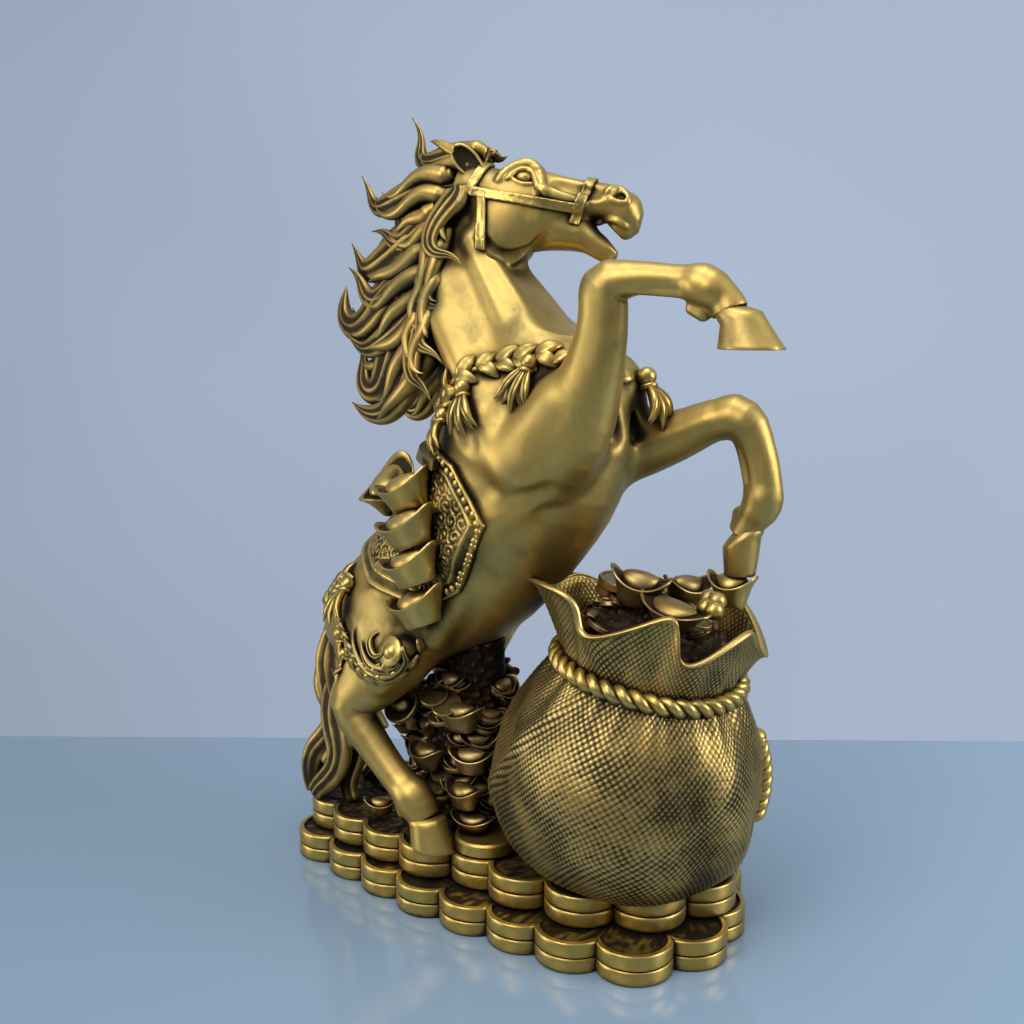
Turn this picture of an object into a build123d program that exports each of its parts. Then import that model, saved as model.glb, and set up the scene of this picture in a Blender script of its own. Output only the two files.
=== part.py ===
"""Brass statuette: a rearing horse with a full money bag, standing on a plinth of coins.

Millimetres. +X is the way the horse faces, +Y its left side, +Z up.
The origin is the centre of the plinth's flat underside.
"""

import math
import os

from build123d import *

# ---- driving dimensions -------------------------------------------------------------------------

COIN_RADIUS = 16.5
COIN_THICK = 6.5
COIN_GROOVE = 0.4  # gap between two stacked coins, and how far it is cut back
TIER_TOP_1 = 2 * COIN_THICK + COIN_GROOVE
TIER_TOP_2 = 2 * TIER_TOP_1

BAG_CENTRE = (60, 1)
BAG_TILT = 11  # the bag leans forward by this many degrees
NECK_RADIUS = 37  # of the bag, where the rope gathers it
ROPE_RADIUS = 3

HEAD_YAW = 21  # the head turns to the horse's left
HEAD_PITCH = -14
POLL = (-20, 0, 322)


# ---- helpers ------------------------------------------------------------------------------------


def oval(a, b):
    """An ellipse as one smooth closed edge that starts on local +X whichever radius is longer."""
    turns = [math.radians(45 * i) for i in range(8)]
    return make_face(Spline(*[(a * math.cos(t), b * math.sin(t)) for t in turns], periodic=True))


def refined(stations, per=3):
    """The same stations with smoothly interpolated ones between them."""
    fine = []
    last = len(stations) - 1
    for i in range(last):
        around = [stations[max(i - 1, 0)], stations[i], stations[i + 1], stations[min(i + 2, last)]]
        for step in range(per):
            t = step / per
            fine.append(tuple(smooth(*values, t) for values in zip(*around)))
    return fine + [stations[-1]]


def smooth(a, b, c, d, t):
    """A Catmull-Rom value between b and c."""
    return 0.5 * (2 * b + (c - a) * t + (2 * a - 5 * b + 4 * c - d) * t**2 + (3 * b - a - 3 * c + d) * t**3)


def section(point, normal, half_side, half_depth):
    """An oval across a limb: half_side is along Y, half_depth is square to Y and the limb."""
    side = Vector(0, 1, 0)
    side = (side - normal * side.dot(normal)).normalized()
    return Plane(origin=point, x_dir=side, z_dir=normal) * oval(half_side, half_depth)


def grown(stations, by):
    """The same limb, fatter all round."""
    return [(x, y, z, a + by, b + by) for x, y, z, a, b in stations]


def limb(stations, per=3):
    """A body through stations (x, y, z, half_side, half_depth)."""
    stations = refined(stations, per)
    points = [Vector(*s[:3]) for s in stations]
    faces = []
    for i, s in enumerate(stations):
        normal = (points[min(i + 1, len(points) - 1)] - points[max(i - 1, 0)]).normalized()
        faces.append(section(points[i], normal, s[3], s[4]))
    return loft(faces, ruled=True)


def lock(points, width, thick, taper=0.12):
    """A tapering lock of hair through points, widest a third of the way along."""
    count = len(points)
    stations = []
    for i, p in enumerate(points):
        t = i / (count - 1)
        swell = taper + (1 - taper) * math.sin(math.pi * (0.22 + 0.78 * t)) ** 0.8
        stations.append((*p, thick / 2 * swell, width / 2 * swell))
    return limb(stations, 2)


def group(shapes):
    """Separate solids in one node."""
    return Compound(children=[s for shape in shapes for s in shape.solids()])


def biggest(shape):
    """The largest solid, which drops slivers that a cut leaves."""
    return max(shape.solids(), key=lambda s: s.volume)


def scalloped(centres, radius, height):
    """A slab whose edge is a row of coins."""
    outline = make_face(Polyline(*centres, close=True))
    for centre in centres:
        outline += Pos(*centre) * Circle(radius)
    return extrude(outline, height)


def coin_tier(centres, z):
    """Two layers of coins with a groove between them."""
    lower = Pos(0, 0, z) * scalloped(centres, COIN_RADIUS, COIN_THICK)
    groove = Pos(0, 0, z + COIN_THICK) * scalloped(centres, COIN_RADIUS - 2 * COIN_GROOVE, COIN_GROOVE)
    upper = Pos(0, 0, z + COIN_THICK + COIN_GROOVE) * scalloped(centres, COIN_RADIUS, COIN_THICK)
    return lower + groove + upper


def coin_stack(x, y, z, count, radius):
    """A stack of loose coins with grooves between them."""
    pitch = COIN_THICK + COIN_GROOVE
    stack = Pos(x, y, z) * extrude(Circle(radius - COIN_GROOVE), count * pitch - COIN_GROOVE)
    for i in range(count):
        stack += Pos(x, y, z + i * pitch) * extrude(Circle(radius), COIN_THICK)
    return stack


def ingot(length, width, height):
    """A boat-shaped ingot on its keel: flared hull, upturned ends and a domed middle."""
    hull = loft(
        [
            Ellipse(0.27 * length, 0.3 * width),
            Pos(0, 0, 0.5 * height) * Ellipse(0.36 * length, 0.42 * width),
            Pos(0, 0, height) * Ellipse(0.5 * length, 0.5 * width),
        ]
    )
    sheer = length * 0.75
    deck = Pos(0, 0, 0.58 * height + sheer) * Rot(90, 0, 0) * Cylinder(sheer, 2 * width)
    dome = Pos(0, 0, 0.5 * height) * scale(Sphere(1), (0.22 * length, 0.34 * width, 0.36 * height))
    return (hull - deck) + dome


def placed(shape, at, yaw=0, pitch=0, roll=0):
    return Pos(*at) * Rot(0, 0, yaw) * Rot(0, pitch, 0) * Rot(roll, 0, 0) * shape


def tassel(at, length, width, yaw=0, pitch=0, roll=0):
    """A bead over a spindle of cords, hanging down local -Z."""
    bead = Sphere(width * 0.36)
    cords = loft(
        [
            Pos(0, 0, -0.25 * width) * Circle(0.22 * width),
            Pos(0, 0, -0.45 * length) * Circle(0.5 * width),
            Pos(0, 0, -length) * Circle(0.14 * width),
        ]
    )
    return placed(bead + cords, at, yaw, pitch, roll)


# ---- plinth -------------------------------------------------------------------------------------

LOWER_SIDE = [(-94, 21), (-69, 27), (-45, 32), (-20, 37), (6, 39), (32, 40), (57, 41), (83, 36)]
LOWER_CENTRES = (
    [(x, -y) for x, y in LOWER_SIDE] + [(97, -13), (95, 11)] + LOWER_SIDE[::-1] + [(-98, 0)]
)
UPPER_NEAR = [(-94, -11), (-73, -19), (-50, -24), (-26, -27), (1, -23), (25, -28), (54, -28), (79, -16)]
UPPER_FAR = [(92, 7), (78, 24), (52, 30), (25, 30), (0, 28), (-26, 27), (-50, 24), (-73, 19), (-92, 9)]
TALL_STACKS = [(1, -23, 1), (-44, 17, 2), (20, 24, 1), (-75, 16, 1)]  # x, y, extra coins on the tier


def plinth_parts():
    return {
        "plinth_lower_coins": coin_tier(LOWER_CENTRES, 0),
        "plinth_upper_coins": coin_tier(UPPER_NEAR + UPPER_FAR, TIER_TOP_1),
        "plinth_tall_stacks": group([coin_stack(x, y, TIER_TOP_2, n, 15) for x, y, n in TALL_STACKS]),
    }


# ---- horse --------------------------------------------------------------------------------------

TORSO = [
    (-103, 0, 103, 8, 9),
    (-93, 0, 110, 21, 20),
    (-72, 0, 121, 32, 31),
    (-47, 0, 135, 35, 36),
    (-20, 0, 157, 35, 39),
    (-2, 0, 181, 36, 42),
    (9, 0, 202, 37, 45),
    (15, 0, 225, 35, 44),
    (19, 0, 243, 28, 35),
    (19, 0, 257, 16, 21),
]
NECK = [
    (4, 0, 232, 26, 37),
    (-12, 0, 256, 20, 31),
    (-24, 0, 276, 16, 23),
    (-30, 1, 292, 13, 18),
    (-28, 2, 307, 11.5, 15),
    (-18, 3, 320, 10, 11),
]
# Along the head from the poll: distance, centre height, half width, half height.
SKULL = [
    (-7, -1, 7, 6),
    (0, 0, 10, 9),
    (10, -6, 12, 15),
    (20, -8, 13, 21),
    (30, -6, 12.5, 18),
    (40, 0, 10.5, 11.5),
    (50, 4, 9, 8.5),
    (60, 6, 9, 7.5),
    (69, 4, 8.5, 7),
    (75, 1, 6, 4),
]
JAW = [
    (34, -13, 8, 8),
    (44, -10, 7.5, 7),
    (54, -10, 6.5, 5.5),
    (63, -12.5, 6, 4),
    (69, -13.5, 4, 2.5),
]
RIGHT_FORELEG = [
    (10, -16, 208, 16, 26),
    (30, -22, 212, 17, 23),
    (45, -25, 224, 15, 19),
    (55, -27, 242, 12, 13.5),
    (60, -28, 260, 9.5, 10.5),
    (62, -28, 277, 9, 9.5),
    (75, -27, 280.5, 6.5, 6.5),
    (90, -26, 280, 5.5, 5.5),
    (101, -25, 277.5, 6.5, 7.5),
    (109, -24, 273, 6, 6.5),
    (112, -24, 268, 6.5, 7),
]
LEFT_FORELEG = [
    (26, 16, 206, 15, 21),
    (50, 20, 209, 13, 15),
    (70, 23, 215, 10, 11),
    (86, 25, 222, 9, 9),
    (98, 26, 222, 8.5, 9.5),
    (105, 27, 210, 7, 7.5),
    (108, 27, 197, 6.5, 7.5),
    (108, 27, 188, 6.5, 8),
    (103, 27, 180, 6.5, 6.5),
    (100, 27, 174, 7, 7),
]
RIGHT_HINDLEG = [
    (-42, -16, 140, 18, 26),
    (-48, -26, 115, 17, 22),
    (-57, -32, 98, 12, 15),
    (-67, -35, 84, 9, 10.5),
    (-55, -35.5, 69, 7.5, 8.5),
    (-40, -36, 55, 7, 7.5),
    (-29, -36, 46, 8, 8.5),
    (-24, -36, 39, 7.5, 7.5),
]
STRIDE = 8  # the left hind foot stands this far ahead of the right one
LEFT_HINDLEG = [(x + STRIDE, -y, z, a, b) for x, y, z, a, b in RIGHT_HINDLEG]
# Foot: coronet centre, its radius, sole centre, sole half length, sole half width.
HOOVES = [
    ((114, -24, 266), 7, (119, -24, 254), 13, 10),
    ((100, 27, 173), 7.5, (98, 26, 159), 10, 9.5),
    ((-24, -36, 39), 8, (-20, -36, TIER_TOP_2), 11.5, 10),
    ((-16, 36, 39), 8, (-12, 36, TIER_TOP_2), 11.5, 10),
]


def head_frame():
    return Location(POLL) * Rot(0, 0, HEAD_YAW) * Rot(0, -HEAD_PITCH, 0)


def head_loft(stations):
    """A body along the head through stations (distance, height, half width, half height)."""
    faces = [
        Pos(s, 0, h) * Rot(0, 90, 0) * oval(half_height, half_width)
        for s, h, half_width, half_height in refined(stations)
    ]
    return head_frame() * loft(faces, ruled=True)


def hoof(coronet, radius, sole, half_length, half_width):
    """A horn wall that widens from the coronet to a flat sole."""
    axis = (Vector(*sole) - Vector(*coronet)).normalized()
    top = Plane(origin=coronet, x_dir=(0, 1, 0), z_dir=(axis.X, 0, axis.Z)) * oval(radius, radius)
    bottom = Plane(origin=sole, x_dir=(0, 1, 0), z_dir=(0, 0, -1)) * oval(half_width, half_length)
    return loft([top, bottom])


def ear(side):
    """A pinned-back ear: a pointed cup."""
    stations = [
        (2, 6 * side, 4, 3.5, 3),
        (-4, 8 * side, 9, 4.5, 2.8),
        (-10, 8.5 * side, 13, 3, 2),
        (-15, 8 * side, 15.5, 0.9, 0.8),
    ]
    return head_frame() * limb(stations)


def horse_parts(torso, neck, head):
    jaw = biggest(head_loft(JAW) - head)
    hooves = [hoof(*h) for h in HOOVES]
    parts = {"torso": torso, "neck": neck, "head": head, "lower_jaw": jaw, "hooves": group(hooves)}
    legs = [RIGHT_FORELEG, LEFT_FORELEG, RIGHT_HINDLEG, LEFT_HINDLEG]
    names = ["right_foreleg", "left_foreleg", "right_hindleg", "left_hindleg"]
    for name, stations, foot in zip(names, legs, hooves):
        parts[name] = biggest(limb(stations) - torso - foot)
    eyes = [head_frame() * Pos(22, 10.5 * side, 7.5) * Sphere(3.2) for side in (-1, 1)]
    parts["eyes"] = group([eye - head for eye in eyes])
    parts["ears"] = group([biggest(ear(side) - head) for side in (-1, 1)])
    return parts


# ---- hair ---------------------------------------------------------------------------------------

# Each lock runs from its root on the crest to its curled tip: points, width, thickness.
MANE = [
    ([(-17, 0, 329), (-26, -3, 334), (-36, -4, 334), (-46, -3, 334), (-56, -2, 340)], 9, 6),
    ([(-22, 4, 326), (-32, 5, 330), (-42, 6, 328), (-52, 6, 325)], 8, 6),
    ([(-27, -4, 320), (-40, -8, 322), (-52, -9, 318), (-64, -8, 313), (-75, -6, 313), (-83, -5, 320)], 10, 7),
    ([(-29, 5, 313), (-42, 7, 313), (-54, 8, 308), (-66, 9, 306), (-74, 9, 310)], 10, 7),
    ([(-33, -9, 307), (-45, -12, 303), (-55, -12, 297), (-65, -10, 293)], 9, 6),
    ([(-35, -3, 300), (-50, -5, 299), (-63, -5, 290), (-74, -4, 283), (-84, -3, 283), (-89, -3, 288)], 11, 8),
    ([(-36, 5, 292), (-50, 8, 288), (-62, 9, 280), (-74, 9, 274), (-82, 9, 276)], 10, 7),
    ([(-37, -11, 289), (-49, -15, 283), (-61, -16, 275), (-73, -14, 271), (-84, -12, 273)], 11, 7),
    ([(-38, -5, 281), (-54, -8, 277), (-68, -7, 267), (-82, -5, 260), (-94, -4, 259), (-101, -3, 266)], 12, 9),
    ([(-38, 6, 275), (-54, 8, 268), (-68, 9, 257), (-80, 9, 249), (-90, 9, 249)], 11, 8),
    ([(-36, -14, 271), (-48, -18, 262), (-60, -18, 252), (-72, -16, 246), (-82, -15, 247)], 11, 7),
    ([(-35, -6, 262), (-50, -9, 254), (-60, -10, 241), (-70, -9, 230), (-79, -8, 228), (-85, -7, 232)], 12, 9),
    ([(-31, 4, 253), (-44, 5, 241), (-54, 6, 227), (-64, 6, 218), (-74, 6, 217)], 11, 8),
    ([(-31, -17, 255), (-41, -21, 243), (-49, -22, 230), (-59, -20, 220), (-69, -18, 213), (-79, -17, 213)], 11, 7),
]
# Locks that lie on the near face of the neck, over the crest.
NECK_LOCKS = [
    ([(-20, -9, 318), (-28, -14, 309), (-31, -17, 300), (-28, -19, 291), (-22, -20, 285)], 8, 5),
    ([(-27, -12, 300), (-33, -18, 290), (-34, -21, 279), (-30, -23, 269), (-23, -24, 262)], 9, 6),
    ([(-30, -16, 284), (-35, -22, 273), (-36, -25, 262), (-31, -28, 252), (-24, -29, 245)], 9, 6),
    ([(-31, -20, 268), (-36, -26, 257), (-37, -29, 246), (-33, -31, 236), (-28, -32, 229)], 9, 6),
]
# Locks between the ears, from the poll forward.
FORELOCK = [
    ([(-22, -2, 331), (-16, -1, 336), (-9, 0, 336), (-4, 1, 332)], 6, 4),
    ([(-20, 5, 331), (-13, 7, 335), (-6, 9, 333), (-1, 10, 329)], 6, 4),
]
TAIL = [
    ([(-98, 0, 112), (-108, -4, 100), (-106, -9, 84), (-100, -12, 66), (-103, -15, 46), (-107, -17, 30)], 13, 9),
    ([(-99, 4, 110), (-106, 3, 96), (-103, 0, 78), (-99, -3, 60), (-104, -5, 44), (-110, -6, 29)], 12, 8),
    ([(-96, -2, 104), (-100, -8, 90), (-95, -14, 74), (-96, -19, 58), (-91, -22, 42), (-94, -24, 28)], 12, 8),
    ([(-95, 2, 100), (-98, 0, 86), (-93, -5, 70), (-92, -9, 54), (-87, -12, 40), (-84, -14, 28)], 11, 8),
    ([(-97, 6, 104), (-101, 9, 88), (-96, 10, 70), (-98, 12, 52), (-95, 13, 38), (-98, 14, 28)], 12, 8),
]


def hair(locks, *bodies):
    """Locks cut where they grow out of the bodies."""
    cut = []
    for one in locks:
        strand = lock(*one)
        for body in bodies:
            strand = biggest(strand - body)
        cut.append(strand)
    return group(cut)


# ---- tack on the head ---------------------------------------------------------------------------


def tack_parts(head, jaw, neck):
    """Flat straps that stand proud of the skin all round."""
    shell = head_loft([(s, h, a + 1.4, b + 1.4) for s, h, a, b in SKULL]) - head - jaw - neck
    near_and_far = []
    for side in (-1, 1):
        cheek = Pos(26, 12 * side, -1.6) * Rot(0, -4, 0) * Box(46, 20, 3)
        near_and_far.append(biggest(shell & (head_frame() * cheek)))
    noseband = shell & (head_frame() * Pos(50, 0, 4) * Rot(0, 5, 0) * Box(4, 40, 40))
    crown = shell & (head_frame() * Pos(3, 0, 4) * Rot(0, 12, 0) * Box(3.5, 40, 17))
    throat = shell & (head_frame() * Pos(11, 0, -19) * Rot(0, -12, 0) * Box(3, 40, 28))
    noseband = group(noseband.solids())
    cheeks = group([strap - noseband for strap in near_and_far])
    return {
        "noseband": noseband,
        "cheek_straps": cheeks,
        "browband": group([s - cheeks for s in crown.solids()]),
        "throatlatch": group([s - cheeks for s in throat.solids()]),
    }


# ---- trim on the body ---------------------------------------------------------------------------


def skin_of(stations, x, z, side):
    """The surface beside (x, z) of one smooth body, and its outward direction."""
    fine = refined(stations, 12)
    best = None
    for behind, here, ahead in zip(fine, fine[1:], fine[2:]):
        along = Vector(ahead[0] - behind[0], 0, ahead[2] - behind[2]).normalized()
        slip = abs((x - here[0]) * along.X + (z - here[2]) * along.Z)
        if best is None or slip < best[0]:
            best = (slip, here, along)
    _, (cx, cy, cz, half_side, half_depth), along = best
    across = Vector(along.Z, 0, -along.X)
    depth = ((x - cx) * across.X + (z - cz) * across.Z) / half_depth
    depth = max(-0.97, min(0.97, depth))
    out = side * math.sqrt(1 - depth * depth)
    point = Vector(cx, cy, cz) + across * (depth * half_depth) + Vector(0, out * half_side, 0)
    normal = (across * (depth / half_depth) + Vector(0, out / half_side, 0)).normalized()
    return point, normal


def skin(x, z, side, off=0.0):
    """The horse's flank beside (x, z), on the torso or the thigh; side -1 is the horse's right."""
    thigh = (RIGHT_HINDLEG if side < 0 else LEFT_HINDLEG)[:4]
    point, normal = skin_of(TORSO, x, z, side)
    if x < -18 and z < 128:
        on_thigh = skin_of(thigh, x, z, side)
        if on_thigh[0].Y * side > point.Y * side:
            point, normal = on_thigh
    return point + normal * off, normal


def on_skin(x, z, side, heading=(0, 0, 1), off=0.0):
    """A frame on the skin: local Z outward, local X along heading as far as the skin allows."""
    point, normal = skin(x, z, side, off)
    heading = Vector(*heading)
    along = (heading - normal * heading.dot(normal)).normalized()
    return Plane(origin=point, x_dir=along, z_dir=normal).location


def leaf(size):
    """A plump leaf with a flat back."""
    whole = scale(Sphere(1), (size, size * 0.5, size * 0.5))
    return whole & Pos(0, 0, size) * Box(4 * size, 4 * size, 2 * size)


def leaf_chain(path, side, size, count, off):
    """Pairs of leaves along a path of (x, z) points, resting off above the skin."""
    run = Spline(*path)
    leaves = []
    for i in range(count):
        at = run @ ((i + 0.5) / count)
        heading = run % ((i + 0.5) / count)
        spot = on_skin(at.X, at.Y, side, (heading.X, 0, heading.Y), off)
        for lean in (-1, 1):
            leaves.append(spot * Pos(0, lean * size * 0.55, 0) * Rot(0, 0, lean * 34) * leaf(size))
    return leaves


BREAST_GARLAND = [(-28, 214), (-16, 230), (0, 241), (18, 248), (36, 249)]
RUMP_SWAG = [(-70, 126), (-60, 113), (-48, 107), (-38, 110), (-32, 119)]
CRUPPER = [(-99, 117), (-93, 127), (-84, 137), (-75, 145)]
# Tassels: x, z of the bead, length, width, and how far the cords swing forward of straight down.
BREAST_TASSELS = [(-14, 221, 17, 6, 25), (2, 234, 20, 6.5, 20), (26, 246, 20, 6.5, 5)]
RUMP_TASSELS = [(-88, 124, 22, 6, 10), (-72, 140, 20, 6, 10), (-80, 110, 20, 6, 15)]


def hung_tassels(spots, side, clear):
    """Tassels whose axis starts clear widths above the skin."""
    tassels = []
    for x, z, length, width, swing in spots:
        down = (math.sin(math.radians(swing)), 0, -math.cos(math.radians(swing)))
        frame = on_skin(x, z, side, down, width * clear)
        tassels.append(frame * Rot(0, -90, 0) * tassel((0, 0, 0), length, width))
    return tassels


CLOTH_THICK = 2.4
CLOTH_OUTLINE = [(-62, 186), (-30, 214), (-6, 203), (12, 179), (-5, 147), (-22, 138), (-56, 146), (-76, 160)]
BORDER = [(-24, 209), (-8, 201), (9, 179), (-6, 151), (-18, 143)]
SADDLE_LOAD = [(-19, 136), (-19, 155), (-22, 171), (-28, 186)]  # ingots on each flank, lowest first


def saddle_parts(torso):
    outline = extrude(Plane.XZ * make_face(Polyline(*CLOTH_OUTLINE, close=True)), 60, both=True)
    blanket = limb(grown(TORSO[1:8], CLOTH_THICK))
    cloth = biggest((blanket & outline) - torso)
    run = Polyline(*BORDER)
    beads = []
    load = []
    bosses = []
    for side in (-1, 1):
        for i in range(26):
            at = run @ (i / 25)
            beads.append(on_skin(at.X, at.Y, side, off=CLOTH_THICK + 1.3) * Sphere(1.3))
        for x, z in SADDLE_LOAD:
            y = skin(x, z, side, CLOTH_THICK + 8.5)[0].Y
            load.append(placed(ingot(30, 20, 15), (x, y, z - 4), 0, -22, 0))
        bosses.append(on_skin(-36, 118, side, off=5.4) * Sphere(5))
    load.append(placed(ingot(34, 24, 17), (-66, 0, 176), 90, -34, 0))
    arch = limb(grown(TORSO[3:8], CLOTH_THICK + 4.5))
    arch = arch & (Pos(-32, 0, 205) * Rot(0, 8, 0) * Box(34, 120, 5))
    return {
        "saddle_cloth": cloth,
        "saddle_cloth_beads": group(beads),
        "saddle_ingots": group(load),
        "flank_bosses": group(bosses),
        "saddle_arch": biggest(arch - torso - cloth),
    }


def garland_parts():
    breast, swags, crupper, tassels = [], [], [], []
    for side in (-1, 1):
        breast += leaf_chain(BREAST_GARLAND, side, 4.6, 9, 1.3)
        swags += leaf_chain(RUMP_SWAG, side, 3.6, 9, 1.0)
        crupper += leaf_chain(CRUPPER, side, 4.4, 7, 3)
        tassels += hung_tassels(BREAST_TASSELS, side, 0.9) + hung_tassels(RUMP_TASSELS, side, 1.5)
    return {
        "breast_garland": group(breast),
        "rump_swags": group(swags),
        "crupper_garland": group(crupper),
        "garland_tassels": group(tassels),
    }


# ---- money bag ----------------------------------------------------------------------------------

BAG_PROFILE = [(0, -49), (30, -46), (48, -35), (57, -14), (56, 6), (49, 24), (41, 37), (NECK_RADIUS, 46)]
RUFFLE_WAVES = 7
RUFFLE_HEIGHT = 30
RUFFLE_WALL = 3


def bag_frame():
    return Pos(BAG_CENTRE[0], BAG_CENTRE[1], TIER_TOP_2 + 45) * Rot(0, BAG_TILT, 0)


def wavy(radius, wave):
    """A closed curve that swings in and out round a circle."""
    points = []
    for i in range(RUFFLE_WAVES * 4):
        angle = 2 * math.pi * i / (RUFFLE_WAVES * 4)
        r = radius + wave * math.cos(RUFFLE_WAVES * angle)
        points.append((r * math.cos(angle), r * math.sin(angle)))
    return make_face(Spline(*points, periodic=True))


def ruffle():
    """The gathered mouth above the rope: a flared, wavy wall with a scalloped rim."""
    mid = RUFFLE_HEIGHT * 0.5
    skins = []
    for r in (NECK_RADIUS, NECK_RADIUS - RUFFLE_WALL):
        rings = [wavy(r, 0.2), Pos(0, 0, mid) * wavy(r + 4, 1.6), Pos(0, 0, RUFFLE_HEIGHT) * wavy(r + 10, 4)]
        skins.append(loft(rings))
    wall = skins[0] - skins[1]
    for i in range(RUFFLE_WAVES):
        angle = 360 / RUFFLE_WAVES * (i + 0.5)
        wall -= Rot(0, 0, angle) * Pos(42, 0, RUFFLE_HEIGHT + 4) * Rot(0, 90, 0) * Cylinder(10, 30)
    return wall


def bag_parts():
    frame = bag_frame()
    edge = Spline(*BAG_PROFILE, tangents=((1, 0), (-0.2, 1)))
    top = Line(BAG_PROFILE[-1], (0, BAG_PROFILE[-1][1]))
    axis = Line((0, BAG_PROFILE[-1][1]), BAG_PROFILE[0])
    sack = frame * revolve(Plane.XZ * make_face(edge + top + axis), Axis.Z)
    sack = sack & Pos(60, 0, TIER_TOP_2 + 100) * Box(200, 200, 200)
    neck_z = BAG_PROFILE[-1][1]
    rope = frame * Pos(0, 0, neck_z) * Torus(NECK_RADIUS + 2.5, ROPE_RADIUS)
    mouth = frame * Pos(0, 0, neck_z) * ruffle()
    fill = frame * Pos(0, 0, neck_z) * loft(
        [Circle(33), Pos(0, 0, 16) * Circle(33), Pos(0, 0, 29) * Circle(24)]
    )
    cord = placed(tassel((0, 0, 0), 34, 12), (109, 32, 80), 33, 4, 0)
    deck = neck_z + 28
    ingots = [
        frame * Pos(-8, -8, deck) * Rot(0, 0, 20) * ingot(30, 20, 17),
        frame * Pos(12, -14, deck) * Rot(0, 0, -12) * ingot(34, 16, 9),
        frame * Pos(4, 14, deck) * Rot(0, 0, 60) * ingot(26, 18, 13),
    ]
    foothold = Pos(96, 25, 159 - 16) * ingot(26, 20, 16)
    coins = [frame * Pos(-22, 4 + 2 * i, deck + i * 4.2 - 3) * Cylinder(11, 4) for i in range(2)]
    berries = [
        Pos(97 + 4.4 * i - 2.2 * j, -4 + 7.6 * j - 2 * i, 148 + 2 * j) * Sphere(4)
        for i in range(2)
        for j in range(2)
    ]
    return {
        "bag_sack": sack,
        "bag_rope": rope - sack - mouth,
        "bag_rope_tassel": cord - sack,
        "bag_ruffle": mouth,
        "bag_fill": fill,
        "bag_ingots": group(ingots),
        "bag_coins": group([coin - fill for coin in coins]),
        "bag_berries": group(berries),
        "foothold_ingot": foothold,
    }


# ---- treasure heap under the belly --------------------------------------------------------------

MOUND = [
    (-28, 0, TIER_TOP_2, 20, 30),
    (-26, 0, 50, 19, 24),
    (-24, 0, 75, 17, 19),
    (-22, 0, 100, 15, 16),
    (-20, 0, 124, 13, 14),
]
# Ingots on the mound's flanks: x, y, z of the keel, turn, length.
HEAP_INGOTS = [
    (-16, -19, 78, -10, 28),
    (-8, -22, 60, 15, 24),
    (-32, -24, 58, -20, 24),
    (-10, -25, 44, -15, 24),
    (-6, -24, 30, 5, 24),
    (-60, -24, 28, 30, 18),
    (-14, 20, 76, 10, 28),
    (-34, 23, 58, 20, 24),
    (-8, 24, 44, 15, 24),
    (-44, 22, 41, -25, 22),
]


def heap_parts(torso, plinth, far_leg):
    mound = biggest(limb(MOUND) - torso - far_leg)
    for tier in plinth:
        mound = biggest(mound - tier)
    ingots = []
    for x, y, z, yaw, size in HEAP_INGOTS:
        one = placed(ingot(size, size * 0.62, size * 0.5), (x, y, z), yaw)
        for body in [mound, far_leg, *plinth]:
            one = biggest(one - body)
        ingots.append(one)
    dish = Pos(-48, -21, 84) * Rot(55, 0, 0) * (Cylinder(8, 4) - Pos(0, 0, 2) * Cylinder(6, 4))
    pearl = Pos(-48, -22, 85) * Sphere(4.5)
    coins = [Pos(-30 + 8 * i, -20 - i, 92 - 3 * i) * Rot(30, 10, 0) * Cylinder(7, 2.4) for i in range(2)]
    return {
        "heap_mound": mound,
        "heap_ingots": group(ingots),
        "heap_dish": biggest(dish - mound),
        "heap_pearl": biggest(pearl - mound - dish),
        "heap_coins": group([one - mound for one in coins]),
    }


def main():
    os.makedirs("parts", exist_ok=True)
    torso = limb(TORSO)
    neck = biggest(limb(NECK) - torso)
    head = biggest(head_loft(SKULL) - neck)
    parts = {}
    parts.update(plinth_parts())
    parts.update(horse_parts(torso, neck, head))
    parts["mane_locks"] = hair(MANE, neck, head)
    parts["neck_locks"] = hair(NECK_LOCKS, neck, head)
    parts["forelock"] = hair(FORELOCK, head)
    parts["tail_locks"] = hair(TAIL, torso)
    parts.update(tack_parts(head, parts["lower_jaw"], neck))
    parts.update(saddle_parts(torso))
    parts.update(garland_parts())
    parts.update(bag_parts())
    plinth = [parts["plinth_upper_coins"]] + list(parts["plinth_tall_stacks"].solids())
    parts.update(heap_parts(torso, plinth, parts["left_hindleg"]))
    for name, shape in parts.items():
        export_step(shape, f"parts/{name}.step")


main()
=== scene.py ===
"""Looks of the brass horse statuette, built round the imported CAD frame.

Shapes are worked out in millimetres in the frame's axes (+X the way the horse faces, +Y its left,
+Z up) and become metres where a mesh is made. The horse's body is one distance field blended from
the CAD bodies, sculpted, meshed, and cut back into its separate pieces.
"""

import math

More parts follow.
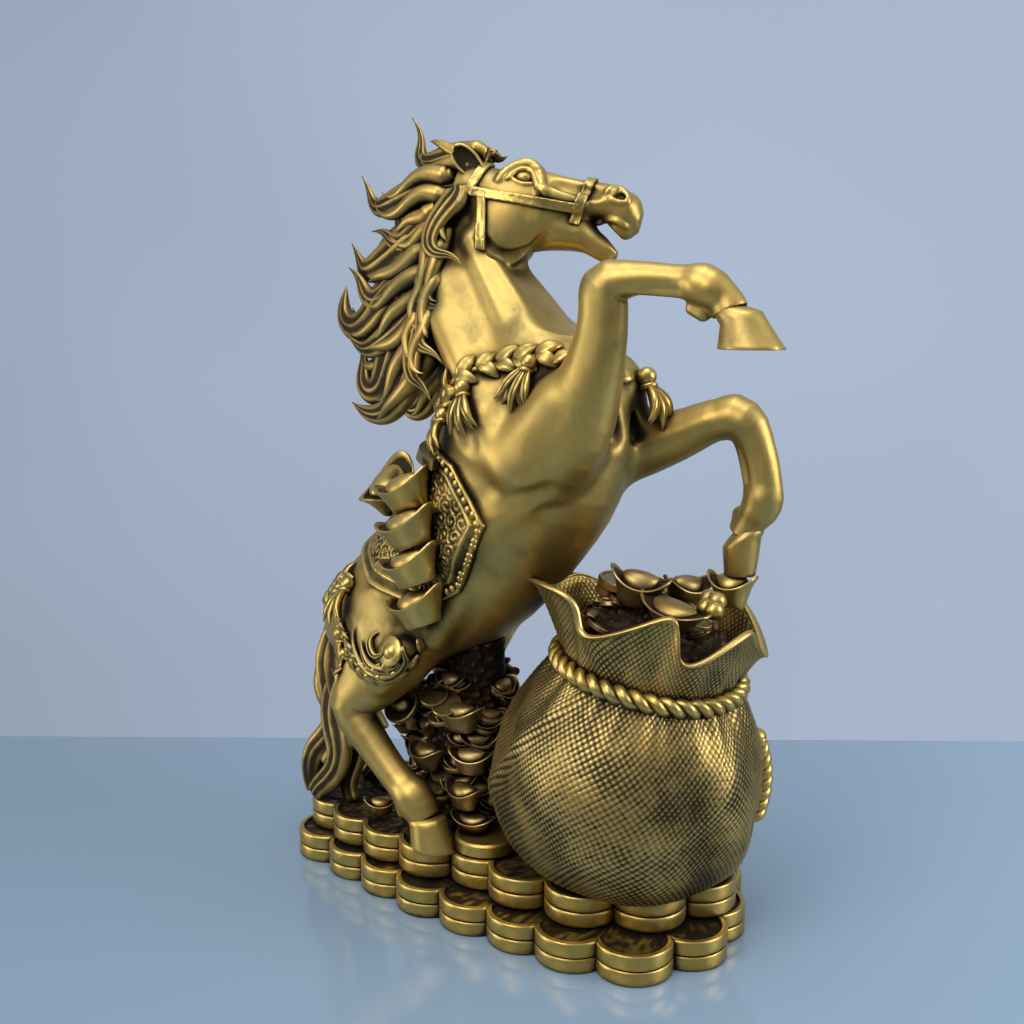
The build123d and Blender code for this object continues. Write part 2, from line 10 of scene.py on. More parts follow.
import bmesh
import bpy
import numpy as np
import openvdb
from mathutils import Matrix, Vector


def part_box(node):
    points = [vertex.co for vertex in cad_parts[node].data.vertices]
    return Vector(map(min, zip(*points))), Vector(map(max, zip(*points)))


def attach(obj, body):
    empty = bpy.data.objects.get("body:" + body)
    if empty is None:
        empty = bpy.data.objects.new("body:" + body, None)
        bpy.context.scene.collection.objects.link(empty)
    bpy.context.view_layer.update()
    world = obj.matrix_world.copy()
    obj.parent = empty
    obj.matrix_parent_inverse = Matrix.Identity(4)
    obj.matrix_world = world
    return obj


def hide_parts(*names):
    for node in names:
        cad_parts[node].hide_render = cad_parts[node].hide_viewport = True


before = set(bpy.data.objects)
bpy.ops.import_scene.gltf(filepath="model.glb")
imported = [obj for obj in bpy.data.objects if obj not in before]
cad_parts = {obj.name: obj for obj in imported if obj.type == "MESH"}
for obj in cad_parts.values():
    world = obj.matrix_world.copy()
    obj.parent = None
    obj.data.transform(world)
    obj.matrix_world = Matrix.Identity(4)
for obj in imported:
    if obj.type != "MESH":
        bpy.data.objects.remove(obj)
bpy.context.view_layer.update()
rng = np.random.default_rng(11)

MM = 0.001
CELL = 0.7  # spacing of the horse's distance field
BAND = 12  # cells either side of a surface where the field is a true distance

# ---- meshes from and to the frame ---------------------------------------------------------------


def vec(*values):
    return np.array(values, float)


UP = vec(0, 0, 1)


def unit(v):
    v = np.asarray(v, float)
    return v / np.maximum(np.linalg.norm(v, axis=-1, keepdims=True), 1e-12)


def middle_of(co):
    """The middle of the box round some points."""
    return (co.min(0) + co.max(0)) / 2


def around(count):
    """Angles once round a circle."""
    return np.linspace(0, 2 * math.pi, count, endpoint=False)


def ahead(x, y, z, start, axis):
    """How far grid points lie from start along an axis."""
    return (x - start[0]) * axis[0] + (y - start[1]) * axis[1] + (z - start[2]) * axis[2]


def node_mesh(name):
    """Vertices in millimetres and triangles of a CAD node, welded."""
    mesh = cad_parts[name].data
    co = np.empty(len(mesh.vertices) * 3, np.float32)
    mesh.vertices.foreach_get("co", co)
    mesh.calc_loop_triangles()
    tris = np.empty(len(mesh.loop_triangles) * 3, np.int32)
    mesh.loop_triangles.foreach_get("vertices", tris)
    co = co.reshape(-1, 3).astype(float) / MM
    _, first, back = np.unique(np.round(co, 3), axis=0, return_index=True, return_inverse=True)
    tris = back.ravel()[tris].reshape(-1, 3)
    tris = tris[(tris[:, 0] != tris[:, 1]) & (tris[:, 1] != tris[:, 2]) & (tris[:, 0] != tris[:, 2])]
    return co[first], tris


def islands(name):
    """The separate solids of a CAD node, each as (vertices, triangles)."""
    co, tris = node_mesh(name)
    label = np.arange(len(co))
    while True:
        low = label[tris].min(1)
        new = label.copy()
        for k in range(3):
            np.minimum.at(new, tris[:, k], low)
        new = new[new]
        if (new == label).all():
            break
        label = new
    out = []
    for one in np.unique(label[tris[:, 0]]):
        used = np.flatnonzero(label == one)
        place = np.full(len(co), -1)
        place[used] = np.arange(len(used))
        out.append((co[used], place[tris[label[tris[:, 0]] == one]]))
    return out


def box_mm(name):
    low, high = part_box(name)
    return vec(*low) / MM, vec(*high) / MM


def linked(name, data):
    """A new object in the scene."""
    made = bpy.data.objects.new(name, data)
    bpy.context.scene.collection.objects.link(made)
    return made


def make_mesh(name, co, faces, material, nodes, relief=None, loop_normals=None, crease=None):
    """A piece of the statue from millimetre vertices. relief is 0 in dark gaps and 1 on high points."""
    mesh = bpy.data.meshes.new(name)
    mesh.from_pydata((np.asarray(co, float) * MM).tolist(), [], faces)
    layer = mesh.attributes.new("relief", "FLOAT", "POINT")
    values = np.ones(len(co), np.float32) if relief is None else np.asarray(relief, np.float32)
    layer.data.foreach_set("value", values)
    mesh.materials.append(material)
    mesh.update()
    mesh.shade_smooth()
    if crease:
        mesh.set_sharp_from_angle(angle=math.radians(crease))
    if loop_normals is not None:
        mesh.normals_split_custom_set(loop_normals.tolist())
    piece = linked(name, mesh)
    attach(piece, "root")
    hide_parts(*nodes)


def cast(node, parts, material, crease=None):
    """The piece that stands for a CAD node, from parts of (vertices, faces, relief)."""
    faces, base = [], 0
    for co, corners, _ in parts:
        corners = corners.tolist() if isinstance(corners, np.ndarray) else corners
        faces += [[i + base for i in face] for face in corners]
        base += len(co)
    co, relief = (np.concatenate([part[k] for part in parts]) for k in (0, 2))
    make_mesh(node + "_cast", co, faces, material, (node,), relief, crease=crease)


def each(node, make, material, crease=None):
    """The piece for a CAD node whose every solid gives one part, made from its vertices."""
    cast(node, [make(co) for co, _ in islands(node)], material, crease)


# ---- materials ----------------------------------------------------------------------------------


class Shade:
    """A short way to write a node tree."""

    def __init__(self, owner):
        owner.use_nodes = True
        self.tree = owner.node_tree

    def feed(self, socket, value):
        """Links a socket to another node's, or sets its value."""
        if isinstance(value, bpy.types.NodeSocket):
            self.tree.links.new(value, socket)
        else:
            socket.default_value = value

    def node(self, kind, *values, operation=None, **inputs):
        """A node whose sockets are fed in order, or by name with _ for a space."""
        made = self.tree.nodes.new("ShaderNode" + kind)
        if operation:
            made.operation = operation
        for socket, value in zip(made.inputs, values):
            self.feed(socket, value)
        for key, value in inputs.items():
            self.feed(made.inputs[key.replace("_", " ")], value)
        return made

    def ramp(self, source, *stops):
        """The colour that goes with source, between stops of (place, grey or colour)."""
        made = self.node("ValToRGB", Fac=source)
        points = made.color_ramp.elements
        while len(points) < len(stops):
            points.new(0.5)
        for point, (place, value) in zip(points, stops):
            point.position = place
            point.color = (*value, 1) if isinstance(value, tuple) else (value, value, value, 1)
        return made.outputs["Color"]

    def clamped(self, operation, a, b):
        """Two values added, subtracted or multiplied, kept within 0 to 1."""
        made = self.node("Math", a, b, operation=operation)
        made.use_clamp = True
        return made.outputs[0]

    def mix(self, kind, factor, a, b):
        """a where factor is 0, b where it is 1."""
        made = self.node("Mix", Factor=factor)
        made.data_type = kind
        self.feed(made.inputs["A"], a)
        self.feed(made.inputs["B"], b)
        return made.outputs["Result"]


BROWN = (0.040, 0.029, 0.017)
WARM = (1.04, 0.9, 0.72)  # what the metal's colour is multiplied by where it is warmest


def brass(name, bright, dark=BROWN, rough=0.3, patina_and_shade=0.55, grain=1.0, cavity_mm=4.0):
    """Antique brass: satin where rubbing has worn it, dark where it is not, which is patina in the hollows
    and painted shade where the occlusion reaches under and between parts.

    The argument after rough is how far the dark patina and painted shade spread out of the hollows; grain
    scales the casting's fine pitting.
    """
    mat = bpy.data.materials.new(name)
    shade = Shade(mat)
    shade.tree.nodes.clear()
    node, ramp, clamped = shade.node, shade.ramp, shade.clamped

    place = node("TexCoord").outputs["Object"]
    blotch = node("TexNoise", Vector=place, Scale=38.0, Detail=5.0, Roughness=0.6).outputs["Fac"]
    speck = node("TexNoise", Vector=place, Scale=520.0, Detail=4.0, Roughness=0.65).outputs["Fac"]
    brushing = node("Mapping", Vector=place, Scale=(900.0, 900.0, 160.0)).outputs["Vector"]
    strokes = node("TexNoise", Vector=brushing, Scale=1.0, Detail=3.0).outputs["Fac"]
    pits = node("TexVoronoi", Vector=place, Scale=330.0).outputs["Distance"]

    # Occlusion: patina in small hollows, and painted shade under and between parts where its reach is wide.
    occlusion = node("AmbientOcclusion", Distance=cavity_mm * MM)
    occlusion.samples = 8
    relief = node("Attribute")
    relief.attribute_name = "relief"
    sharp = ramp(node("NewGeometry").outputs["Pointiness"], (0.44, 0.0), (0.5, 0.5), (0.57, 1.0))

    # How bright the metal is: open to the air, high in relief, mottled, and worn by rubbing along its edges;
    # the occlusion that finds what is open darkens hollows as patina and, over a wide reach, paints shade
    # under and between parts.
    open_unshaded = ramp(occlusion.outputs["AO"], (0.25, 0.0), (0.95, 1.0))
    clean_unshaded = clamped("MULTIPLY", open_unshaded, relief.outputs["Fac"])
    clean_unshaded = clamped("SUBTRACT", clean_unshaded, clamped("MULTIPLY", clamped("SUBTRACT", 0.62, blotch), 1.4))
    clean_unshaded = clamped("SUBTRACT", clean_unshaded, clamped("MULTIPLY", clamped("SUBTRACT", 0.45, speck), 0.5 * grain))
    clean_unshaded = clamped("ADD", clean_unshaded, clamped("MULTIPLY", clamped("SUBTRACT", sharp, 0.55), 0.9))
    rubbed_unshaded = ramp(clean_unshaded, (patina_and_shade - 0.38, 0.0), (patina_and_shade + 0.12, 0.8), (min(patina_and_shade + 0.42, 1.0), 1.0))

    warm = tuple(c * f for c, f in zip(bright, WARM))
    metal = shade.mix("RGBA", ramp(blotch, (0.35, 0.0), (0.68, 1.0)), (*bright, 1), (*warm, 1))
    colour = shade.mix("RGBA", rubbed_unshaded, (*dark, 1), metal)
    satin = clamped("ADD", clamped("MULTIPLY", clamped("SUBTRACT", strokes, 0.35), 0.22), rough)
    roughness = shade.mix("FLOAT", rubbed_unshaded, 0.62, satin)

    bumps = node("Bump", Strength=0.12 * grain, Distance=0.0003, Height=speck).outputs["Normal"]
    bumps = node("Bump", Strength=0.05, Distance=0.0002, Height=strokes, Normal=bumps).outputs["Normal"]
    hollow = ramp(pits, (0.0, 0.0), (0.12, 1.0))
    bumps = node("Bump", Strength=0.1 * grain, Distance=0.0003, Height=hollow, Normal=bumps).outputs["Normal"]

    shader = node("BsdfPrincipled", Base_Color=colour, Roughness=roughness, Metallic=0.96, Normal=bumps)
    node("OutputMaterial", Surface=shader.outputs["BSDF"])
    return mat


# The horse's 20 mm occlusion reach paints shade under the jaw, in the armpits and along the belly, besides
# patina in its hollows.
HORSE = brass("horse_brass", (0.50, 0.37, 0.118), rough=0.40, patina_and_shade=0.61, cavity_mm=20)
HAIR = brass("hair_brass", (0.42, 0.31, 0.10), rough=0.38, patina_and_shade=0.76, cavity_mm=7)
TACK = brass("tack_brass", (0.49, 0.37, 0.12), rough=0.34, patina_and_shade=0.54)
PLINTH = brass("plinth_brass", (0.48, 0.355, 0.105), rough=0.35, patina_and_shade=0.57, grain=2.4)
COPPER = brass("copper_brass", (0.36, 0.265, 0.105), (0.045, 0.027, 0.016), 0.36, 0.66, cavity_mm=5)
SACK = brass("sack_brass", (0.55, 0.415, 0.15), (0.04, 0.03, 0.016), 0.36, 0.46, cavity_mm=2)
HEAP = brass("heap_brass", (0.33, 0.24, 0.115), (0.03, 0.019, 0.012), 0.42, 0.66, grain=2.0)

# ---- distance fields ----------------------------------------------------------------------------


class Field:
    """Signed distances in millimetres on a grid: negative inside."""

    def __init__(self, low, high, cell):
        self.cell = cell
        self.start = np.floor(np.asarray(low) / cell).astype(int)
        self.shape = tuple(np.ceil(np.asarray(high) / cell).astype(int) - self.start + 1)
        self.far = BAND * cell
        self.d = np.full(self.shape, self.far, np.float32)

    def window(self, low, high):
        """Slices that cover a box, and the grid points' coordinates in it."""
        first = np.clip(np.floor(np.asarray(low) / self.cell).astype(int) - self.start, 0, self.shape)
        last = np.clip(np.ceil(np.asarray(high) / self.cell).astype(int) - self.start + 1, 0, self.shape)
        spans = list(zip(first, last, self.start))
        at = tuple(slice(a, b) for a, b, _ in spans)
        return at, *np.ix_(*[((np.arange(a, b) + s) * self.cell).astype(np.float32) for a, b, s in spans])

    def corner(self, at):
        return [int(s.start + o) for s, o in zip(at, self.start)]

    def add_mesh(self, co, tris, soft):
        """Unites a closed mesh with the field; soft is how far the join is blended."""
        at, *_ = self.window(co.min(0) - self.far, co.max(0) + self.far)
        grid = openvdb.FloatGrid.createLevelSetFromPolygons(
            points=co.astype(np.float64),
            triangles=tris.astype(np.uint32),
            transform=openvdb.createLinearTransform(self.cell),
            halfWidth=float(BAND),
        )
        local = np.full([s.stop - s.start for s in at], self.far, np.float32)
        grid.copyToArray(local, ijk=self.corner(at))
        self.d[at] = soft_min(self.d[at], local, soft)

    def add(self, shape, soft, cut=False):
        """Unites a shape (low corner, high corner, distance function) with the field, or cuts it out."""
        low, high, distance = shape
        at, x, y, z = self.window(low - soft - 1, high + soft + 1)
        local = distance(x, y, z).astype(np.float32)
        sign = -1 if cut else 1
        self.d[at] = sign * soft_min(sign * self.d[at], local, soft)

    def sample(self, p):
        """Distances at points, trilinear."""
        q = np.clip(np.asarray(p) / self.cell - self.start, 0, np.array(self.shape) - 1.001)
        i = q.astype(int)
        f = q - i
        total = 0.0
        for dx, dy, dz in np.ndindex(2, 2, 2):
            w = (f[:, 0] if dx else 1 - f[:, 0]) * (f[:, 1] if dy else 1 - f[:, 1])
            w = w * (f[:, 2] if dz else 1 - f[:, 2])
            total = total + w * self.d[i[:, 0] + dx, i[:, 1] + dy, i[:, 2] + dz]
        return total

    def normal(self, p):
        """Outward directions at points."""
        step = self.cell
        p = np.asarray(p, float)
        grad = [self.sample(p + step * axis) - self.sample(p - step * axis) for axis in np.eye(3)]
        return unit(np.stack(grad, -1))

    def to_skin(self, p, off=0.0):
        """A point or points moved onto the surface, or off above it, with the normals there."""
        moved = np.array(p, float).reshape(-1, 3)
        for _ in range(6):
            moved = moved - self.normal(moved) * (self.sample(moved) - off)[:, None]
        return moved.reshape(np.shape(p)), self.normal(moved).reshape(np.shape(p))

    def quads(self, values=None, at=None):
        """Vertices and quads of the surface, or of other distances in a window of the grid."""
        values, start = (self.d, self.start) if at is None else (values, self.corner(at))
        grid = openvdb.FloatGrid()
        grid.background = float(self.far)
        grid.copyFromArray(np.ascontiguousarray(values, np.float32), ijk=[int(s) for s in start])
        grid.transform = openvdb.createLinearTransform(self.cell)
        return grid.convertToQuads(0.0)


def soft_min(a, b, k):
    if k <= 0:
        return np.minimum(a, b)
    h = np.clip(0.5 + 0.5 * (b - a) / k, 0, 1)
    return b + (a - b) * h - k * h * (1 - h)


def capsule(a, b, ra, rb):
    """A rounded cone from a to b as (low corner, high corner, distance function)."""
    a, b = np.asarray(a, float), np.asarray(b, float)
    run = b - a
    length2 = float(run @ run)

    def distance(x, y, z):
        t = np.clip(ahead(x, y, z, a, run) / length2, 0, 1)
        gap = sum((grid - start - t * step) ** 2 for grid, start, step in zip((x, y, z), a, run))
        return np.sqrt(gap) - (ra + (rb - ra) * t)

    r = max(ra, rb)
    return np.minimum(a, b) - r, np.maximum(a, b) + r, distance


def ellipsoid(centre, radii, axes=None):
    """An ellipsoid with its own axes, one per row."""
    centre = np.asarray(centre, float)
    axes = np.eye(3) if axes is None else np.asarray(axes, float)

    def distance(x, y, z):
        k0 = k1 = 0.0
        for axis, r in zip(axes, radii):
            along = ahead(x, y, z, centre, axis)
            k0 = k0 + (along / r) ** 2
            k1 = k1 + (along / r**2) ** 2
        k0 = np.sqrt(k0)
        return k0 * (k0 - 1) / np.maximum(np.sqrt(k1), 1e-6)

    r = max(radii)
    return centre - r, centre + r, distance


# ---- the horse's body ---------------------------------------------------------------------------

SIDES = (-1, 1)  # the horse's right, then its left
POLL = vec(-20, 0, 322)


def head_axes(yaw, pitch):
    """Rows: along the nose, to the head's left, up the face."""
    along = vec(math.cos(yaw) * math.cos(pitch), math.sin(yaw) * math.cos(pitch), -math.sin(pitch))
    left = vec(-math.sin(yaw), math.cos(yaw), 0)
    return np.array([along, left, np.cross(along, left)])


HEAD_AXES = head_axes(math.radians(21), math.radians(14))


def head_point(along, left, up):
    return POLL + vec(along, left, up) @ HEAD_AXES


BODY_NODES = [  # node, how softly it joins what is there
    ("torso", 0),
    ("neck", 9),
    ("head", 5),
    ("right_foreleg", 7),
    ("left_foreleg", 7),
    ("right_hindleg", 8),
    ("left_hindleg", 8),
    ("lower_jaw", 2),
]

# Muscles and ridges of the trunk on the horse's right: ends (x, y, z), end radii, softness.
TRUNK_RIDGES = [
    ((-24, -20, 262), (8, -30, 226), 5, 9, 7),  # front edge of the shoulder blade
    ((2, -28, 218), (26, -30, 204), 12, 12, 8),  # triceps behind the elbow
    ((40, -30, 232), (22, -32, 206), 9, 9, 6),  # forearm's root
    ((34, -14, 244), (44, -20, 212), 9, 10, 6),  # breast muscle
    ((24, -30, 190), (-6, -34, 166), 5, 4, 9),  # edge of the chest
    ((-12, -26, 146), (-22, -30, 124), 7, 6, 7),  # flank fold
    ((-60, -28, 128), (-42, -34, 112), 12, 12, 8),  # haunch
]
TRUNK_HOLLOWS = [
    ((-4, -42, 240), (4, -44, 214), 4, 4, 6),  # behind the shoulder blade
    ((14, -44, 186), (40, -36, 194), 3, 3, 5),  # under the elbow
    ((-22, -42, 158), (-8, -40, 140), 5, 4, 8),  # in front of the thigh
    ((40, -8, 250), (56, -8, 216), 3, 3, 5),  # between the breast muscles
]
NECK_RIDGES = [
    ((-14, -9, 298), (22, -15, 250), 3, 5, 12),  # long muscle from jaw to breast
    ((-30, -12, 284), (-8, -21, 248), 3, 5, 12),
]
NECK_HOLLOWS = [
    ((-6, -15, 292), (12, -21, 268), 1.0, 1.6, 7),  # the vein's groove
]


def mirrored(p, side):
    return vec(p[0], -p[1] * side, p[2])


def sculpt_trunk(body):
    body.add(ellipsoid((45.5, 14, 231), (12, 12, 18)), 8)  # breast pushed out by the raised left leg
    for side in SIDES:
        for a, b, ra, rb, soft in TRUNK_RIDGES + NECK_RIDGES:
            body.add(capsule(mirrored(a, side), mirrored(b, side), ra, rb), soft)
        for a, b, ra, rb, soft in TRUNK_HOLLOWS + NECK_HOLLOWS:
            body.add(capsule(mirrored(a, side), mirrored(b, side), ra, rb), soft, cut=True)


# Lines drawn on the side of the head: points (along, up), radius, how proud, softness.
BROW = [(12.5, 4), (14, 8.8), (18.6, 13.4), (23.4, 14.2), (28.4, 11.0), (31.6, 4.8), (32.4, 1.6)]
LID_CREASE = [(15.4, 7.2), (18.4, 11.6), (22.8, 12.8), (27, 11.2), (30.6, 5.6)]
FACE_LINES = [
    (BROW, 1.7, 0.2, 1.8),
    ([(16, 5.2), (18.6, 9.4), (22.4, 11.2), (26.4, 9.9), (30, 5.4)], 1.15, 0.5, 0.6),  # upper lid
    ([(17.4, 6.2), (20, 5.0), (23.4, 4.6), (27, 5.6)], 0.8, 0.1, 0.6),  # lower lid
    ([(59, 9.6), (61, 12.0), (64.2, 12.2), (67.4, 10.2), (68.6, 7.4)], 1.4, 0.0, 1.2),  # nostril's rim
    ([(61, 7.6), (63.6, 6.6), (66.8, 6.8)], 0.9, 0.0, 1.0),  # under the nostril
    ([(57.4, -3.2), (59.4, -1.4), (63, -0.4), (67.5, -0.8), (70.5, -2.2)], 1.1, 0.2, 1.0),  # lip
    ([(33, 4.0), (42, 3.2), (50, 2.6)], 1.6, -0.5, 3.0),  # bone of the cheek
]
FACE_CUTS = [
    ([(63.5, 9.0), (66.2, 9.2)], 1.1, 0.1, 0.8),  # nostril
    (LID_CREASE, 0.5, 0.9, 0.5),
    ([(31, 2.5), (34, -1.5)], 0.9, 0.5, 1.5),  # tear groove
    ([(38, 8.0), (55, 8.0)], 1.2, 1.0, 4.0),  # flat side of the nose
    ([(12, -22), (22, -28), (32, -22), (38, -14)], 1.2, 0.6, 3.0),  # under the cheek
]
FACE_POINTS = 14  # points a line on the face is drawn through
EYE_AT = (22.8, 7.8)  # along and up the side of the head
MOUTH_SLANT = math.radians(38)  # the open mouth's slope below the nose


def face_point(body, along, up, side, proud):
    """A point on the side of the head, proud of the skin."""
    reach = np.linspace(18, 0, 73)
    line = np.array([head_point(along, r * side, up) for r in reach])
    inside = np.flatnonzero(body.sample(line) < 0)
    found = line[inside[0]] if len(inside) else line[-8]
    return found + body.normal([found])[0] * proud


def sculpt_head(body):
    """Works over the head; returns where each eye sits on it, and the way it looks."""
    for side in SIDES:
        body.add(ellipsoid(head_point(20, 7.5 * side, -14.5), (13, 6, 16), HEAD_AXES), 4)  # cheek
    body.add(ellipsoid(head_point(68.4, 0, 4.6), (6.2, 8.2, 7.2), HEAD_AXES), 3)  # muzzle
    body.add(ellipsoid(head_point(68.3, 0, -1.2), (7.0, 6.6, 6.8), HEAD_AXES), 2)  # upper lip
    body.add(capsule(head_point(30, 0, 7.6), head_point(58, 0, 7.4), 4.2, 4.2), 3)  # ridge of the nose
    for lean in (-2.6, 2.6):  # the two bars of the jaw
        bend = head_point(50, lean, -9.5)
        body.add(capsule(head_point(34, lean, -10), bend, 9, 6.8), 4)
        body.add(capsule(bend, head_point(64.8, lean * 0.7, -15.8), 6.2, 3.5), 1.5)
    along, left, up = HEAD_AXES
    down = along * math.cos(MOUTH_SLANT) - up * math.sin(MOUTH_SLANT)
    wedge = np.array([down, left, np.cross(down, left)])
    body.add(ellipsoid(head_point(69, 0, -10.4), (12, 11, 2.5), wedge), 0.8, cut=True)  # open mouth
    eyes = []
    for side in SIDES:
        eye = face_point(body, *EYE_AT, side, 0)
        out = body.normal([eye])[0]
        eyes.append((eye, out))
        body.add(ellipsoid(eye + out * 1.2, (5.2, 2.3, 3.2), HEAD_AXES), 1.0, cut=True)
        for drawn, cut in ((FACE_LINES, False), (FACE_CUTS, True)):
            for points, radius, proud, soft in drawn:
                path = smooth_path(points, FACE_POINTS)
                spots = [face_point(body, a, u, side, proud) for a, u in path]
                for a, b in zip(spots, spots[1:]):
                    body.add(capsule(a, b, radius, radius), soft, cut)
    return eyes


LEG_RIDGES = {
    "right_foreleg": [
        ((54, -33, 238), (58, -32, 262), 3, 2, 5),  # outer muscle of the forearm
        ((58, -28, 277), (62, -28, 280), 6.5, 6.0, 4),  # knee
        ((70, -31, 276), (96, -28, 274), 1.4, 1.4, 2),  # tendon
        ((101, -25, 278), (104, -25, 276.5), 7.2, 7.0, 3),  # fetlock
        ((97, -25, 269), (101.5, -25, 267), 2.6, 3.0, 2.5),  # tuft behind it
    ],
    "left_foreleg": [
        ((94, 26, 226), (99, 26, 222), 6.5, 6.5, 4),
        ((98, 23, 212), (102, 24, 194), 1.4, 1.4, 2),
        ((107, 27, 190), (106, 27, 186), 7.4, 7.2, 3),
        ((97, 27, 183), (97.5, 27, 179), 2.6, 3.2, 2.5),
        ((60, 17, 212), (84, 20, 222), 3, 2, 5),
    ],
    "right_hindleg": [
        ((-73, -35, 91), (-77, -35, 85), 3.4, 3.2, 4),  # point of the hock
        ((-64, -39, 106), (-72, -37, 90), 2.0, 1.8, 4),
        ((-62, -40, 72), (-36, -40, 49), 1.4, 1.4, 2),
        ((-31, -36, 49), (-30, -36, 46), 8.2, 8.0, 3),
        ((-39, -36, 43), (-37, -36, 39), 2.4, 2.8, 2.5),
        ((-30, -42, 120), (-46, -40, 100), 4, 3, 7),
    ],
}


def sculpt_legs(body):
    for ridges in LEG_RIDGES.values():
        for a, b, ra, rb, soft in ridges:
            body.add(capsule(a, b, ra, rb), soft)
    stride = (box_mm("left_hindleg")[0] - box_mm("right_hindleg")[0])[0]
    for a, b, ra, rb, soft in LEG_RIDGES["right_hindleg"]:
        ends = [mirrored(p, 1) + vec(stride, 0, 0) for p in (a, b)]
        body.add(capsule(*ends, ra, rb), soft)


def horse_field():
    """The whole horse as one field, with its eyes' places."""
    low = np.min([box_mm(n)[0] for n, _ in BODY_NODES], 0) - 6
    high = np.max([box_mm(n)[1] for n, _ in BODY_NODES], 0) + 6
    body = Field(low, high, CELL)
    for name, soft in BODY_NODES:
        body.add_mesh(*node_mesh(name), soft)
    sculpt_trunk(body)
    eyes = sculpt_head(body)
    sculpt_legs(body)
    return body, eyes


# Where the casting is cut: piece, centre of the cut, its normal towards the piece, how far it
# reaches, the nodes the piece stands for.
CUTS = [
    ("horse_head", (-12, 1, 307), (0.66, 0.2, 0.72), 45, ("head", "lower_jaw")),
    ("horse_right_foreleg", (50, -29, 248), (0.4, -0.05, 0.9), 40, ("right_foreleg",)),
    ("horse_left_foreleg", (72, 20, 219), (0.9, 0.2, 0.35), 40, ("left_foreleg",)),
    ("horse_right_hindleg", (-64, -35, 87), (-0.35, -0.05, -0.93), 40, ("right_hindleg",)),
    ("horse_left_hindleg", (-56, 35, 87), (-0.35, 0.05, -0.93), 40, ("left_hindleg",)),
    ("horse_neck", (-8, 0, 252), (-0.25, 0, 0.97), 70, ("neck",)),
]


def horse_pieces(body):
    """Meshes the field once, then cuts it into closed pieces that share their skin's normals."""
    co, quads = body.quads()
    bm = bmesh.new()
    verts = [bm.verts.new(p) for p in co.tolist()]
    for quad in quads.tolist():
        bm.faces.new([verts[i] for i in quad])
    rest = drop_crumbs(bm)
    pieces = []
    for name, centre, normal, reach, nodes in CUTS:
        centre, normal = vec(*centre), unit(vec(*normal))
        middle = np.array([f.calc_center_median()[:] for f in rest])
        near = [rest[i] for i in np.flatnonzero(np.linalg.norm(middle - centre, axis=1) < reach)]
        geometry = set(near) | {e for f in near for e in f.edges} | {v for f in near for v in f.verts}
        cut = bmesh.ops.bisect_plane(bm, geom=list(geometry), dist=1e-4, plane_co=centre, plane_no=normal)
        walls = nearest_loop({g for g in cut["geom_cut"] if isinstance(g, bmesh.types.BMEdge)}, centre)
        beyond = [f for e in walls for f in e.link_faces]
        seeds = [f for f in beyond if (vec(*f.calc_center_median()) - centre) @ normal > 0]
        gone = set().union(*(faces for _, faces, _ in pieces))
        taken = spread(seeds, walls) - gone
        pieces.append((name, taken, nodes))
        gone |= taken
        rest = [f for f in bm.faces if f not in gone]
    pieces.append(("horse_torso", set(rest), ("torso",)))
    bm.faces.index_update()
    for name, faces, nodes in pieces:
        closed_piece(name, sorted(faces, key=lambda f: f.index), nodes, body)
    bm.free()


def flood(seeds, neighbours):
    """Everything reached from the seeds through neighbours(one)."""
    found, stack = set(seeds), list(seeds)
    while stack:
        for other in neighbours(stack.pop()):
            if other not in found:
                found.add(other)
                stack.append(other)
    return found


def spread(seeds, walls):
    """Faces joined to the seeds without crossing the walls."""
    return flood(seeds, lambda face: [f for e in face.edges if e not in walls for f in e.link_faces])


def nearest_loop(edges, centre):
    """The closed ring of edges whose middle is nearest to the centre; a longer ring may be farther."""
    left, rings = set(edges), []
    while left:
        ring = flood([left.pop()], lambda edge: [e for v in edge.verts for e in v.link_edges if e in edges])
        left -= ring
        count = {}
        for edge in ring:
            for v in edge.verts:
                count[v] = count.get(v, 0) + 1
        if all(n == 2 for n in count.values()):
            middle = np.mean([v.co[:] for v in count], 0)
            rings.append((np.linalg.norm(middle - centre) - 0.02 * len(ring), ring))
    return min(rings, key=lambda r: r[0])[1]


def drop_crumbs(bm):
    """Keeps only the largest connected shell."""
    left, shells = set(bm.faces), []
    while left:
        shells.append(spread([left.pop()], ()))
        left -= shells[-1]
    shells.sort(key=len)
    for shell in shells[:-1]:
        bmesh.ops.delete(bm, geom=list(shell), context="FACES")
    return list(bm.faces)


CAP_INSET = 0.03  # keeps the caps of two pieces apart


def closed_piece(name, faces, nodes, body):
    """A mesh of some of the casting's faces, with flat caps over the cuts."""
    place, co, corners = {}, [], []
    for face in faces:
        ring = []
        for v in face.verts:
            if v not in place:
                place[v] = len(co)
                co.append(v.co[:])
            ring.append(place[v])
        corners.append(ring)
    edges = dict.fromkeys((a, b) for ring in corners for a, b in zip(ring, ring[1:] + ring[:1]))
    follow = {b: a for a, b in edges if (b, a) not in edges}
    co = np.array(co)
    skin = body.normal(co)
    normals = [skin[i] for ring in corners for i in ring]
    while follow:
        first, here = follow.popitem()
        loop = [first]
        while here != first and here in follow:
            loop.append(here)
            here = follow.pop(here)
        if len(loop) < 3:
            continue
        points = co[loop]
        spokes = points - points.mean(0)
        facing = unit(np.cross(spokes, np.roll(points, -1, 0) - points.mean(0)).sum(0))
        corners.append(list(range(len(co), len(co) + len(loop))))
        co = np.concatenate([co, points - unit(spokes) * CAP_INSET])
        normals += [facing] * len(loop)
    make_mesh(name, co, corners, HORSE, nodes, loop_normals=np.array(normals))


# ---- swept and turned shapes --------------------------------------------------------------------


